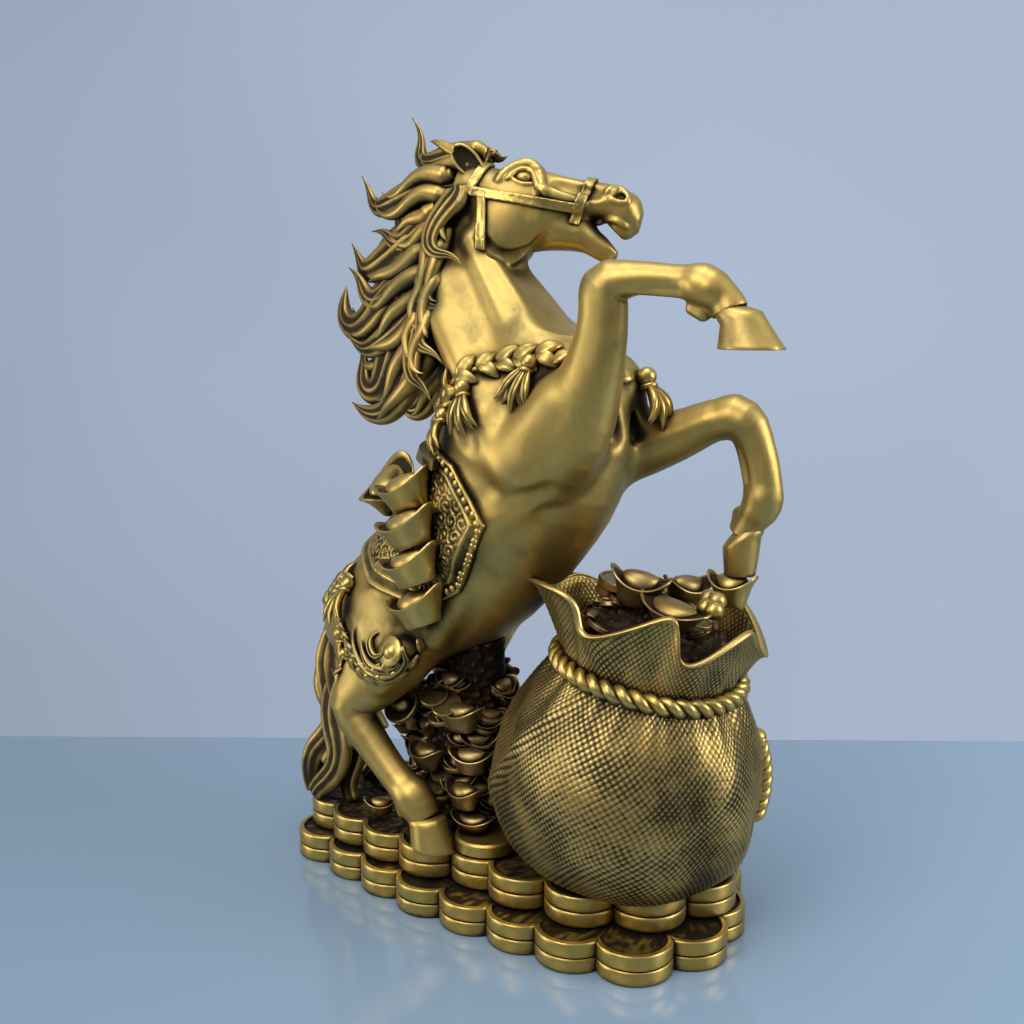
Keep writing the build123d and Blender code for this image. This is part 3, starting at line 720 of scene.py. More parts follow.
def swept(rings, relief=None):
    """A closed surface through rings of points, as (vertices, faces, relief)."""
    rings = np.asarray(rings, float)
    rows, columns = rings.shape[:2]
    here = np.arange(columns)
    there = np.roll(here, -1)
    base = (np.arange(rows - 1) * columns)[:, None]
    quads = np.stack([base + here, base + there, base + there + columns, base + here + columns], -1)
    faces = quads.reshape(-1, 4).tolist()
    faces.append(here[::-1].tolist())
    faces.append(((rows - 1) * columns + here).tolist())
    relief = np.ones((rows, columns)) if relief is None else np.broadcast_to(relief, (rows, columns))
    return rings.reshape(-1, 3), faces, relief.reshape(-1)


def smooth_path(points, count):
    """Evenly spaced points along a path whose corners are rounded off."""
    points = np.asarray(points, float)
    for _ in range(3):
        a, b = points[:-1], points[1:]
        inner = np.stack([0.75 * a + 0.25 * b, 0.25 * a + 0.75 * b], 1).reshape(-1, points.shape[1])
        points = np.concatenate([points[:1], inner, points[-1:]])
    gone = np.concatenate([[0], np.cumsum(np.linalg.norm(np.diff(points, axis=0), axis=1))])
    at = np.linspace(0, gone[-1], count)
    return np.stack([np.interp(at, gone, points[:, k]) for k in range(points.shape[1])], -1)


def strand(path, half_wide, half_thick, face, grooves=0, sides=16, depth=0.4):
    """A ribbon whose flat side looks along face, with lengthways grooves."""
    path = np.asarray(path, float)
    along = unit(np.gradient(path, axis=0))
    face = np.broadcast_to(face, path.shape)
    up = unit(face - (face * along).sum(1)[:, None] * along)
    side = np.cross(up, along)
    turn = around(sides)
    across, over = np.cos(turn), np.sin(turn)
    dent, relief = np.ones(sides), None
    if grooves:
        ripple = 0.5 - 0.5 * np.cos(2 * math.pi * (grooves + 1) * (across + 1) / 2)
        dent = 1 - depth * (1 - ripple) * np.abs(over)
        relief = (dent - (1 - depth)) / depth * 0.75 + 0.25
    wide = np.broadcast_to(half_wide, len(path))[:, None, None]
    thick = np.broadcast_to(half_thick, len(path))[:, None, None]
    sideways = side[:, None] * wide * across[:, None]
    outward = up[:, None] * thick * (over * dent)[:, None]
    return swept(path[:, None] + sideways + outward, relief)


def turned(profile, centre, axes, sides=32):
    """A shape turned round axes[2] from (radius, height) points."""
    turn = around(sides)
    radius, height = (column[:, None] for column in np.asarray(profile, float).T)
    rings = np.stack([radius * np.cos(turn), radius * np.sin(turn), height + 0 * turn], -1)
    return swept(np.asarray(centre) + rings @ np.asarray(axes))


def ball(centre, radii, axes=None, rows=9, sides=14):
    """An ellipsoid with its own axes, one per row."""
    polar = np.linspace(math.pi - 0.02, 0.02, rows)
    axes = np.eye(3) if axes is None else axes
    return turned(np.column_stack([np.sin(polar), np.cos(polar)]), centre, np.diag(radii) @ axes, sides)


def axes_from(up, along):
    """Rows: along as far as up allows, the third direction, up."""
    up = unit(up)
    along = unit(np.asarray(along) - up * (np.asarray(along) @ up))
    return np.array([along, np.cross(up, along), up])


def principal(co):
    """Directions of a cloud of points, longest first."""
    return np.linalg.svd(co - co.mean(0), full_matrices=False)[2]


# ---- treasure -----------------------------------------------------------------------------------

# fmt: off
# Rings of a boat-shaped ingot: share of half length, of half width, of the rim's height there.
BOAT_HULL = [
    (0.30, 0.34, 0.0), (0.52, 0.58, 0.0), (0.57, 0.63, 0.05), (0.64, 0.74, 0.3), (0.75, 0.85, 0.6),
    (0.90, 0.95, 0.86), (0.985, 0.99, 0.96), (1.0, 1.0, 1.0), (0.985, 0.97, 1.04), (0.95, 0.92, 1.04),
    (0.91, 0.87, 0.98), (0.84, 0.83, 0.88), (0.76, 0.80, 0.82), (0.66, 0.78, 0.80),
]
# fmt: on
# Over its domed middle: share of the dome's radius, of its height.
BOAT_DOME = [(1.0, 0.0), (0.98, 0.3), (0.88, 0.58), (0.7, 0.79), (0.42, 0.94), (0.12, 1.0)]


def boat(keel, axes, length, width, height, sides=40):
    """A boat-shaped ingot: flat keel, flared hull, rolled rim, hollow deck, domed middle."""
    turn = around(sides)
    c, s = np.cos(turn), np.sin(turn)
    rim = height * (0.6 + 0.4 * np.abs(c) ** 2.2)
    rings = [np.stack([0.5 * length * a * c, 0.5 * width * b * s, rim * h], -1) for a, b, h in BOAT_HULL]
    floor = rim * BOAT_HULL[-1][2]
    for a, h in BOAT_DOME:
        z = floor * (1 - h) + 1.02 * height * h if h else floor * 0.96
        rings.append(np.stack([0.3 * length * a * c, 0.37 * width * a * s, np.broadcast_to(z, sides)], -1))
    relief = np.ones((len(rings), sides))
    relief[len(BOAT_HULL) - 3 : len(BOAT_HULL) + 1] = 0.35
    return swept(np.asarray(keel) + np.array(rings) @ axes, relief)


def boat_like(co, upright=None, grow=1.0):
    """A detailed ingot where a CAD ingot stands; its tips are its two points farthest apart."""
    far = co[np.argmax(np.linalg.norm(co - co.mean(0), axis=1))]
    tip = co[np.argmax(np.linalg.norm(co - far, axis=1))]
    other = co[np.argmax(np.linalg.norm(co - tip, axis=1))]
    middle = (tip + other) / 2
    up = middle - co.mean(0) if upright is None else upright
    axes = axes_from(up, (tip - other) * (1 if tip[0] > other[0] else -1))
    spread_out = (co - middle) @ axes.T
    length = np.ptp(spread_out[:, 0])
    width = max(np.ptp(spread_out[:, 1]), 0.6 * length)
    height = np.ptp(spread_out[:, 2])
    keel = middle + spread_out[:, 2].min() * axes[2]
    return boat(keel, axes, length * grow, width * grow, height * grow)


def coin_disc(centre, axes, radius, thick):
    """A coin with raised rims and sunken faces."""
    lip = 0.16 * radius
    half = thick / 2
    sunk = half - 0.12 * thick
    bevel = 0.14 * thick
    edge = [(radius - lip, sunk), (radius - lip * 0.9, half), (radius - bevel, half), (radius, half - bevel)]
    profile = [(0.05, -sunk)] + [(r, -z) for r, z in edge] + edge[::-1] + [(0.05, sunk)]
    return turned(profile, centre, axes, 40)


# ---- plinth -------------------------------------------------------------------------------------

COIN_RADIUS = 16.5
COIN_THICK = 6.5
COIN_GROOVE = 0.4
ARC = 19  # points of the outline round each coin
FLOOR_ROWS = 14  # rings of the rough floor inside a tier's lip
BEVEL = 1.0  # how far in the first and last points of an edge are
# Across the edge of a layer: how far in, share of the layer's thickness.
LAYER_EDGE = [(BEVEL, 0.0), (0.45, 0.02), (0.1, 0.09), (0.0, 0.2), (0.0, 0.8), (0.1, 0.91), (0.45, 0.98)]
LIP = [(1.6, 1.02), (2.3, 1.0), (2.7, 0.86), (2.9, 0.80)]
SPINE_SHORT = 30  # how much shorter than the tier its floor's middle line is, at each end


def coin_centres(name):
    """Centres of the coins round a tier, in order, from the side walls of its CAD body."""
    co, tris = node_mesh(name)
    a, b, c = co[tris[:, 0]], co[tris[:, 1]], co[tris[:, 2]]
    normal = np.cross(b - a, c - a)
    area = np.linalg.norm(normal, axis=1)
    normal = unit(normal)
    side = (np.abs(normal[:, 2]) < 0.05) & (area > 1)
    spots = ((a + b + c) / 3 - normal * COIN_RADIUS)[side][:, :2]
    found = []
    for spot in spots:
        near = np.linalg.norm(spots - spot, axis=1) < 1.2
        if near.sum() > 5 and all(np.linalg.norm(spot - f) > 5 for f in found):
            found.append(spots[near].mean(0))
    found = np.array(found)
    order = np.argsort(np.arctan2(found[:, 1] - found[:, 1].mean(), found[:, 0] - found[:, 0].mean()))
    return found[order]


def scallop(centres, radius):
    """The outline of a ring of overlapping circles, anticlockwise, with ARC points on each."""
    rows = []
    for before, here, after in zip(np.roll(centres, 1, 0), centres, np.roll(centres, -1, 0)):
        ends = []
        for other, sign in ((before, 1), (after, -1)):
            gap = other - here
            open_by = math.acos(min(np.linalg.norm(gap) / 2 / radius, 1))
            ends.append(math.atan2(gap[1], gap[0]) + sign * open_by)
        start, stop = ends
        while stop < start:
            stop += 2 * math.pi
        turn = start + (stop - start) * (np.arange(ARC - 1) + 0.5) / (ARC - 1)
        turn = np.concatenate([[start + 0.01], turn])
        rows.append(here + radius * np.stack([np.cos(turn), np.sin(turn)], -1))
    return np.concatenate(rows)


def coin_tier(name):
    """Two layers of coins round a tier, with a lipped edge and a rough sunken top."""
    low, high = (corner[2] for corner in box_mm(name))
    centres = coin_centres(name)
    lift = np.repeat(rng.uniform(-0.25, 0.25, len(centres)), ARC)
    rings, relief = [], []
    layer = (high - low - COIN_GROOVE) / 2
    for k in range(2):
        base = low + k * (layer + COIN_GROOVE)
        for inset, share in LAYER_EDGE + (LIP if k else [(BEVEL, 1.0)]):
            z = base + share * layer + lift * (share * 0.8 if k else 0.3)
            rings.append(np.column_stack([scallop(centres, COIN_RADIUS - inset), z]))
            relief.append(0.25 if inset == BEVEL or inset >= 2.5 else 1.0)
    rim = rings[-1]
    across = np.clip(rim[:, 0], centres[:, 0].min() + SPINE_SHORT, centres[:, 0].max() - SPINE_SHORT)
    spine = np.column_stack([across, 0 * across, rim[:, 2]])
    for s in np.linspace(0.08, 0.98, FLOOR_ROWS):
        ring = rim * (1 - s) + spine * s
        ring[:, 2] += rng.uniform(-0.7, 0.5, len(ring)) * (s < 0.97)
        rings.append(ring)
    relief = np.array(relief)[:, None] * np.ones(len(rim))
    relief = np.concatenate([relief, rng.uniform(0.1, 0.75, (FLOOR_ROWS, len(rim)))])
    relief[:, ::ARC] *= 0.2
    return swept(rings, relief)


def plinth_pieces():
    for name in ("plinth_lower_coins", "plinth_upper_coins"):
        cast(name, [coin_tier(name)], PLINTH, 38)
    stacks = []
    for co, _ in islands("plinth_tall_stacks"):
        low, high = co.min(0), co.max(0)
        radius = (high[0] - low[0]) / 2
        count = max(1, round((high[2] - low[2]) / (COIN_THICK + COIN_GROOVE)))
        for i in range(count):
            z = low[2] + (i + 0.5) * (high[2] - low[2]) / count
            middle = vec(*middle_of(co)[:2], z) + vec(*rng.uniform(-0.6, 0.6, 2), 0)
            stacks.append(coin_disc(middle, np.eye(3), radius - 0.5, COIN_THICK))
    cast("plinth_tall_stacks", stacks, PLINTH, 38)


# ---- hair ---------------------------------------------------------------------------------------

LOCK_STEP = 2.5  # how far apart a lock's centre line is measured
LOCK_BLUR = 3.2  # how far along it each measure reaches


def centre_line(co, tris, towards):
    """Down the middle of a lock from root to tip: points, half width and thickness, flat side."""
    edges = np.concatenate([tris[:, [0, 1]], tris[:, [1, 2]], tris[:, [2, 0]]])
    length = np.linalg.norm(co[edges[:, 0]] - co[edges[:, 1]], axis=1)
    far = np.full(len(co), np.inf)
    far[np.argmax(co @ np.asarray(towards, float))] = 0
    while True:
        before = far.copy()
        np.minimum.at(far, edges[:, 0], far[edges[:, 1]] + length)
        np.minimum.at(far, edges[:, 1], far[edges[:, 0]] + length)
        if np.array_equal(far, before):
            break
    weights = [np.exp(-(((far - s) / LOCK_BLUR) ** 2)) for s in np.arange(far.max() - 1, 0, -LOCK_STEP)]
    points = np.array([weight @ co / weight.sum() for weight in weights])
    sizes, flats = [], []
    for weight, middle, t in zip(weights, points, unit(np.gradient(points, axis=0))):
        flat = co - middle
        flat = flat - (flat @ t)[:, None] * t
        values, vectors = np.linalg.eigh((flat * weight[:, None]).T @ flat / weight.sum())
        sizes.append(np.sqrt(np.maximum(2 * values[[2, 1]], 0.05)))
        flip = -1 if flats and vectors[:, 1] @ flats[-1] < 0 else 1
        flats.append(vectors[:, 1] * flip)
    return points, np.array(sizes), np.array(flats)


# Strands of a lock: side of the lock, how far along it runs, how far it stands forward, width, grooves.
STRANDS = [(-0.5, 0.74, 0.0, 0.5, 0), (0.5, 0.62, 0.1, 0.5, 0), (0.0, 1.0, 0.4, 0.82, 2)]


def curly_lock(co, tris, towards, grow, reach, curl, wave, blunt):
    """A lock as broad strands, the longest ending in an upturned tip like a flame, or a blunt one."""
    points, sizes, flats = centre_line(co, tris, towards)
    root = points[0] - unit(points[1] - points[0]) * 3
    tip = points[-1] + unit(points[-1] - points[-3]) * 5
    points = np.concatenate([[root], points, [tip]])
    gone = np.linspace(-1, 1, len(points))
    bend = np.polynomial.polynomial.polyfit(gone, points, 5)
    half_wide, half_thick = sizes.max(0) * grow
    face = unit(flats.mean(0))
    t = np.linspace(0, 1, 48)
    parts = []
    for side, run, stand, share, grooves in STRANDS:
        middle = np.polynomial.polynomial.polyval(2 * t * run * reach - 1, bend).T
        across = unit(np.cross(face, unit(np.gradient(middle, axis=0))))
        lift = 1 if across[-1, 2] > 0 else -1
        phase = rng.uniform(0, 2 * math.pi)
        sway = side * (0.9 - 0.3 * t) + wave * np.sin(2 * math.pi * (0.9 + 1.4 * wave) * t + phase) * t
        sway = sway + curl * (1 - abs(side)) * np.clip((t - 0.55) / 0.45, 0, 1) ** 2 * lift
        forward = face * (stand * half_thick * (1 - 0.5 * t))[:, None]
        path = middle + across * (half_wide * sway)[:, None] + forward
        taper = np.minimum(1, 0.6 + 2 * t) * (1 - t**2) ** 0.9
        taper = taper * (1 - blunt) + blunt * np.minimum(1, 0.75 + t)
        wide = np.maximum(half_wide * share * taper, 0.25)
        parts.append(strand(path, wide, np.maximum(half_thick * 0.85 * taper, 0.22), face, grooves, 24))
    return parts


TAIL_TUCK = vec(7, 0, 0)  # how far the top of the tail lies closer to the legs than its CAD locks
# Which way a node's locks grow; how wide, how much of their length, curl, wave and bluntness.
HAIR_NODES = {
    "mane_locks": ((-1, 0, 0), 1.95, 1.0, 1.15, 0.28, 0.0),
    "neck_locks": ((0, 0, -1), 1.6, 1.0, 1.0, 0.28, 0.0),
    "forelock": ((1, 0, 0), 1.6, 0.55, 0.2, 0.28, 0.0),
    "tail_locks": ((0, 0, -1), 1.75, 1.0, 0.2, 0.5, 0.55),
}


def hair_pieces():
    for name, shape in HAIR_NODES.items():
        parts = []
        for co, tris in islands(name):
            if name == "tail_locks":
                high = (co[:, 2] - co[:, 2].min()) / np.ptp(co[:, 2])
                co = co + np.clip(high, 0, 1)[:, None] * TAIL_TUCK
            parts += curly_lock(co, tris, *shape)
        cast(name, parts, HAIR)


# ---- trim on the body ---------------------------------------------------------------------------


def leaf(centre, axes, size):
    """A pointed leaf with a sunken midrib, lying on axes[0] with axes[2] outward."""
    t = np.linspace(0, 1, 12)
    swell = np.sin(math.pi * t**0.8) ** 0.75
    bow = 0.35 * size * np.sin(math.pi * t)
    path = centre + axes[0] * ((t - 0.5) * 2 * size)[:, None] + axes[2] * bow[:, None]
    wide, thick = np.maximum(0.52 * size * swell, 0.12), np.maximum(0.3 * size * swell, 0.1)
    return strand(path, wide, thick, axes[2], 1, 14, 0.5)


def garland_pieces(body):
    for name in ("breast_garland", "rump_swags", "crupper_garland"):
        spots = []
        parts = []
        for co, _ in islands(name):
            long_way = principal(co)[0]
            skin, out = body.to_skin(co.mean(0), 0.3)
            size = np.ptp((co - co.mean(0)) @ long_way) / 2 * (1.45 if name == "breast_garland" else 1.2)
            parts.append(leaf(skin, axes_from(out, long_way), size))
            spots.append(skin)
        spots = np.array(spots)
        for side in SIDES:
            chain = spots[spots[:, 1] * side > 0]
            chain = chain[np.argsort(chain[:, 0])]
            pairs = np.array([chain[i : i + 2].mean(0) for i in range(0, len(chain) - 1, 2)])
            stem, out = body.to_skin(smooth_path(pairs, 60), 0.8)
            parts.append(strand(stem, 1.3, 1.1, out, 0, 10))
            for k in range(1, len(pairs) - 1):
                bud, out = body.to_skin(pairs[k], 1.6)
                parts.append(ball(bud, (1.7, 1.7, 1.5), axes_from(out, (1, 0, 0.2)), 7, 10))
        if name == "breast_garland":
            parts += front_leaves(body, spots)
        if name == "rump_swags":
            parts += rump_scrolls(body)
        cast(name, parts, TACK)


def front_leaves(body, spots):
    """Leaves that join the two sides of the garland across the breast."""
    ends = [max(spots[spots[:, 1] * side > 0], key=lambda p: p[0]) for side in SIDES]
    bow = vec(20, 0, -8)
    share = np.linspace(0, 1, 12)
    line = np.array([ends[0] * (1 - f) + ends[1] * f + bow * math.sin(math.pi * f) for f in share])
    line, out = body.to_skin(line, 0.4)
    run = np.gradient(line, axis=0)
    parts = []
    for k in range(1, 11):
        across = np.cross(out[k], unit(run[k])) * (0.9 if k % 2 else -0.9)
        parts.append(leaf(line[k] + across * 1.6, axes_from(out[k], unit(run[k]) + 0.5 * across), 6.0))
    return parts


# A crescent of fronds round each flank boss: offsets from it along X and Z, half width.
SCROLL = [
    ([(5, 3), (7, -4), (1, -10), (-9, -12), (-18, -8), (-24, 0), (-24, 8)], 2.6),
    ([(3, -3), (0, -7), (-8, -8.5), (-15, -4), (-18, 3)], 2.2),
    ([(-4, -2), (-8, -4), (-12, 0), (-13, 5), (-9, 8)], 1.8),
    ([(-22, -4), (-29, -8), (-34, -5), (-34, 2), (-30, 4)], 1.8),
]


def rump_scrolls(body):
    parts = []
    for boss, _ in islands("flank_bosses"):
        middle = boss.mean(0)
        for offsets, half in SCROLL:
            line = smooth_path([middle + vec(x, 0, z) for x, z in offsets], 44)
            line, out = body.to_skin(line, 1.1)
            t = np.linspace(0, 1, len(line))
            swell = np.clip(np.sin(math.pi * (0.12 + 0.86 * t)), 0.08, 1)
            parts.append(strand(line, half * swell, 1.9 * swell, out, 1, 18))
    return parts


def tassel(top, axes, length, width):
    """A bead, a collar, and fronds that sweep down and part. axes: across, down, outward."""
    across, down, out = axes
    collar = (0.34 * width, 0.34 * width, 0.16 * width)
    parts = [ball(top, (0.36 * width,) * 3), ball(top + down * 0.36 * width, collar, axes_from(down, across))]
    t = np.linspace(0, 1, 22)
    for k in (-2, -1, 0, 1, 2):
        reach = length * (1 - 0.07 * abs(k) - 0.05 * (k % 2))
        flick = 0.5 * width * np.sign(k + 0.3) * np.clip(t - 0.75, 0, 1)
        open_by = k * 0.16 * width * (0.6 + 1.6 * t) + flick
        bow = 0.22 * width * np.sin(math.pi * t) + (0.12 * width if k % 2 == 0 else 0)
        path = top + down * (0.4 * width + (reach - 0.4 * width) * t)[:, None]
        path = path + across * open_by[:, None] + out * bow[:, None]
        size = 0.2 * width * np.clip(np.sin(math.pi * (0.12 + 0.88 * t)), 0, 1) ** 0.8
        parts.append(strand(path, np.maximum(size, 0.12), np.maximum(size, 0.1), out, 1, 12))
    return parts


def hung_tassel(body, top, foot, lifts, stand, length, width):
    """A tassel on the skin from near top to near foot; lifts are how far off the skin they are."""
    skin, out = body.to_skin(top, lifts[0])
    middle, _ = body.to_skin(foot, lifts[1])
    down, across, outward = axes_from(out, unit(middle - skin))
    return tassel(skin + out * stand, (across, down, outward), length, width)


FRONT_TASSEL = vec(56, 13, 239)  # near the breast's front, on the horse's left


def tassel_pieces(body):
    parts = []
    for co, _ in islands("garland_tassels"):
        down = principal(co)[0]
        down = down * (-1 if down[2] > 0 else 1)
        along = (co - co.mean(0)) @ down
        length = np.ptp(along)
        top = co.mean(0) + down * along.min()
        width = np.ptp((co - co.mean(0)) @ principal(co)[2]) * 1.5
        parts += hung_tassel(body, top, top + down * length, (1.2, 1.4), 1.2, length, width)
    parts += hung_tassel(body, FRONT_TASSEL, FRONT_TASSEL - vec(-2, 0, 17), (1.4, 1.6), 1.6, 24, 12)
    cast("garland_tassels", parts, TACK)


def hull_2d(points):
    """The convex outline of points in a plane, anticlockwise."""
    points = np.unique(np.round(points, 2), axis=0)
    chains = []
    for order in (points, points[::-1]):
        chain = []
        for p in order:
            while len(chain) > 1 and turn_2d(chain[-2], chain[-1], p) <= 0.5:
                chain.pop()
            chain.append(p)
        chains += chain[:-1]
    return np.array(chains)


def turn_2d(a, b, c):
    return (b[0] - a[0]) * (c[1] - a[1]) - (b[1] - a[1]) * (c[0] - a[0])


def inside_by(outline, x, z):
    """How far points lie inside a convex outline."""
    deep = np.full(np.broadcast(x, z).shape, 1e3)
    for a, b in zip(outline, np.roll(outline, -1, 0)):
        run = unit(b - a)
        deep = np.minimum(deep, (z - a[1]) * run[0] - (x - a[0]) * run[1])
    return deep


def cloth_piece(body):
    """The saddle cloth: a thick blanket on the skin with a double border and scrolls."""
    cloth, _ = node_mesh("saddle_cloth")
    outline = hull_2d(cloth[:, [0, 2]])
    at, x, y, z = body.window(cloth.min(0) - 5, cloth.max(0) + 5)
    deep = inside_by(outline, x[:, 0], z[0])
    thick = 2.2 + 0.9 * bump(deep, 0.9, 0.9) + 0.7 * bump(deep, 6.2, 0.7)
    thick = thick + 0.7 * scrolls(x[:, 0], z[0]) * np.clip(deep - 7.2, 0, 1)
    skin = body.d[at]
    values = np.maximum(skin - thick[:, None, :], -(skin + 0.8))
    co, quads = body.quads(np.maximum(values, -deep[:, None, :]), at)
    relief = np.clip((body.sample(co) - 1.7) / 1.2, 0.4, 1)
    cast("saddle_cloth", [(co, quads, relief)], TACK)

    def bead(co):
        spot, out = body.to_skin(co.mean(0), 2.9)
        return ball(spot, (1.9, 1.4, 1.3), axes_from(out, (0.5, 0, -0.8)), 7, 12)

    each("saddle_cloth_beads", bead, TACK)


def bump(value, centre, half):
    """1 within half of centre, falling smoothly to 0."""
    return np.clip(1.5 - np.abs(value - centre) / half, 0, 1)


SCROLL_PITCH = 6.4  # spacing of the curls on the saddle cloth


def scrolls(x, z):
    """Spiral curls in staggered rows, from 0 to 1."""
    row = np.round(z / SCROLL_PITCH)
    dz = z - row * SCROLL_PITCH
    shifted = x + (row % 2) * SCROLL_PITCH / 2
    column = np.round(shifted / SCROLL_PITCH)
    dx = shifted - column * SCROLL_PITCH
    spin = np.where((row + column) % 2 > 0, 1, -1)
    spiral = np.sin(2.6 * np.hypot(dx, dz) + spin * np.arctan2(dz, dx))
    return np.clip(spiral * 1.8 + 0.3, 0, 1)


STRAP_OFF = 1.5  # how far a strap stands off the skin
STRAP_HALF = 2.1  # half its width


def strap_pieces(body):
    """Straps on the head: the skin's shell between two parallel planes."""
    for name in ("noseband", "cheek_straps", "browband", "throatlatch"):
        cloud, _ = node_mesh(name)
        local = (cloud - POLL) @ HEAD_AXES.T
        low, high = local.min(0) - (1.5, 4, 0.5), local.max(0) + (1.5, 4, 3)
        at, x, y, z = body.window(cloud.min(0) - 5, cloud.max(0) + 5)
        from_middle = np.abs(ahead(x, y, z, cloud.mean(0), principal(cloud)[2]))
        skin = body.d[at]
        edge = 0.25 * (from_middle > 0.55 * STRAP_HALF)
        values = np.maximum(skin - STRAP_OFF - edge, -(skin + 1.0))
        values = np.maximum(values, from_middle - STRAP_HALF)
        for axis, a, b in zip(HEAD_AXES, low, high):
            s = ahead(x, y, z, POLL, axis)
            values = np.maximum(values, np.maximum(a - s, s - b))
        co, quads = body.quads(values, at)
        cast(name, [(co, quads, np.ones(len(co)))], TACK)


def ear_pieces():
    parts = []
    for side, (co, _) in zip(SIDES, sorted(islands("ears"), key=lambda i: i[0][:, 1].mean())):
        along = principal(co)[0]
        along = along * (1 if along[0] < 0 else -1)
        reach = (co - co.mean(0)) @ along
        root = co.mean(0) + along * (reach.min() - 1)
        length = 0.84 * np.ptp(reach)
        outward = unit(vec(-0.1, side, 0.5))
        outward = unit(outward - along * (outward @ along))
        across = np.cross(outward, along)
        t = np.sin(np.linspace(0, 1, 30) * math.pi / 2)[:, None]
        turn = np.linspace(-2.1, 2.1, 25)
        round_off = np.sqrt(np.clip(1 - (np.clip(t - 0.5, 0, 1) / 0.5) ** 2, 0, 1))
        half = 5.2 * (0.6 + 0.4 * np.sin(math.pi / 2 * np.clip(t / 0.5, 0, 1))) * round_off
        rows = []
        for wall in (0.0, 1.1):
            r = np.maximum(half - wall, 0.05)
            ring = root + along * (t * length - 0.8 * wall * (t > 0.9))[..., None]
            ring = ring + across * (r * np.sin(turn * (0.66 + 0.1 * t)))[..., None]
            ring = ring - outward * (r * np.cos(turn * (0.66 + 0.1 * t)) * 0.8)[..., None]
            rows.append(ring)
        loop = np.concatenate([rows[0], rows[1][:, ::-1]], 1)
        relief = np.where(np.arange(loop.shape[1]) < len(turn), 1.0, 0.6)  # darker inside
        parts.append(swept(loop, relief))
    cast("ears", parts, HORSE)


def eye_pieces(eyes):
    parts = []
    for eye, out in eyes:
        axes = axes_from(out, HEAD_AXES[0])
        parts.append(ball(eye - out * 1.4, (3.9, 2.5, 3.0), axes, 16, 22))
        parts.append(ball(eye + out * 0.9 + HEAD_AXES[0] * 0.5, (1.4, 1.2, 0.9), axes, 9, 16))
    cast("eyes", parts, HORSE)


HOOF_TILT = 0.34  # how much higher a hoof's rim is at the toe than in the middle, per mm of radius


def hoof_pieces():
    """Hooves: a coronet band, a horn wall with faint growth rings, heel bulbs and a hollow sole."""
    parts = []
    shafts = np.concatenate([node_mesh(name)[0] for name, _ in BODY_NODES if name.endswith("leg")])
    ingot_low, ingot_high = box_mm("foothold_ingot")
    turn = around(48)
    heel = 1 - 0.16 * np.exp(-((np.abs(np.angle(np.exp(1j * (turn - math.pi)))) / 0.35) ** 2))
    toe = np.where(np.cos(turn) > 0, 0.16 * np.cos(turn) ** 2, 0.10 * np.cos(turn))

    def ring(middle, half_x, half_y, tilt):
        """An outline about a middle, its toe raised by tilt and its heel lowered."""
        return middle + np.stack([half_x * np.cos(turn), half_y * np.sin(turn), tilt * np.cos(turn)], -1)

    for co, _ in islands("hooves"):
        sole = co[co[:, 2] < co[:, 2].min() + 0.3]
        band = co[co[:, 2] > co[:, 2].min() + 0.55 * np.ptp(co[:, 2])]
        foot, cuff = middle_of(sole), middle_of(band)
        half = np.ptp(sole, axis=0) / 2
        radius = np.ptp(band[:, 1]) / 2
        if ingot_low[2] < foot[2] < ingot_high[2] + 4:  # the hoof that treads on an ingot
            foot, half = foot - vec(0, 0, 2.4), half * 0.66
        near = shafts[np.linalg.norm(shafts - cuff, axis=1) < 16]
        lean = near.mean(0) - cuff
        rings = []
        for u in (1.0, 0.8, 0.6, 0.4, 0.2, 0.0):  # from inside the leg to the coronet
            size = radius * (1 - 0.55 * u**2)
            rings.append(ring(cuff + lean * u, size, size, HOOF_TILT * radius * (1 - u)))
        for s in np.linspace(0.88, 0.04, 10):  # down the wall
            shape = (1 - (1 - heel) * (1 - s)) * (1 + 0.006 * math.sin(s * 34)) * (1 + toe * (1 - s))
            a, b = ((radius + (h - radius) * (1 - s) ** 1.1) * shape for h in half[:2])
            rings.append(ring(foot + (cuff - foot) * s, a, b, HOOF_TILT * radius * s))
        for inset, up in ((0.97, 0.0), (0.84, 0.0), (0.78, 0.9), (0.3, 1.6)):  # under the sole
            shape = inset * heel * (1 + toe)
            rings.append(ring(foot + vec(0, 0, up), half[0] * shape, half[1] * shape, 0))
        relief = np.ones((len(rings), 1))
        relief[-2:] = 0.4
        parts.append(swept(np.array(rings)[::-1], relief[::-1]))
    cast("hooves", parts, HORSE, 50)


def load_pieces(body):
    """Ingots and bosses on the saddle, and its arch."""
    each("saddle_ingots", lambda co: boat_like(co, grow=1.12), TACK, 40)
    parts = []
    for co, _ in islands("flank_bosses"):
        radius = np.ptp(co[:, 0]) / 2
        parts.append(ball(middle_of(co), (radius,) * 3, None, 16, 24))
        skin, out = body.to_skin(middle_of(co), 0.4)
        rim = [(0.1, -1), (1.32 * radius, -1), (1.45 * radius, 0.2), (1.3 * radius, 0.9), (0.1, 0.9)]
        parts.append(turned(rim, skin, axes_from(out, (1, 0, 0)), 28))
    cast("flank_bosses", parts, TACK)
    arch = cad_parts["saddle_arch"]
    arch.data.materials.clear()
    arch.data.materials.append(TACK)
    edge = arch.modifiers.new("edge", "BEVEL")
    edge.width = 0.8 * MM
    edge.segments = 2


# ---- money bag ----------------------------------------------------------------------------------

ROPE, _ = node_mesh("bag_rope")
BAG_UP = principal(ROPE)[2]
BAG_UP = BAG_UP * np.sign(BAG_UP[2])
BAG_AXES = axes_from(BAG_UP, (1, 0, 0))
BAG_MOUTH = ROPE.mean(0)


def in_bag(cloud):
    """Radii and heights of points about the bag's own axis; height 0 is the rope."""
    local = (cloud - BAG_MOUTH) @ BAG_AXES.T
    return np.hypot(local[:, 0], local[:, 1]), local[:, 2]


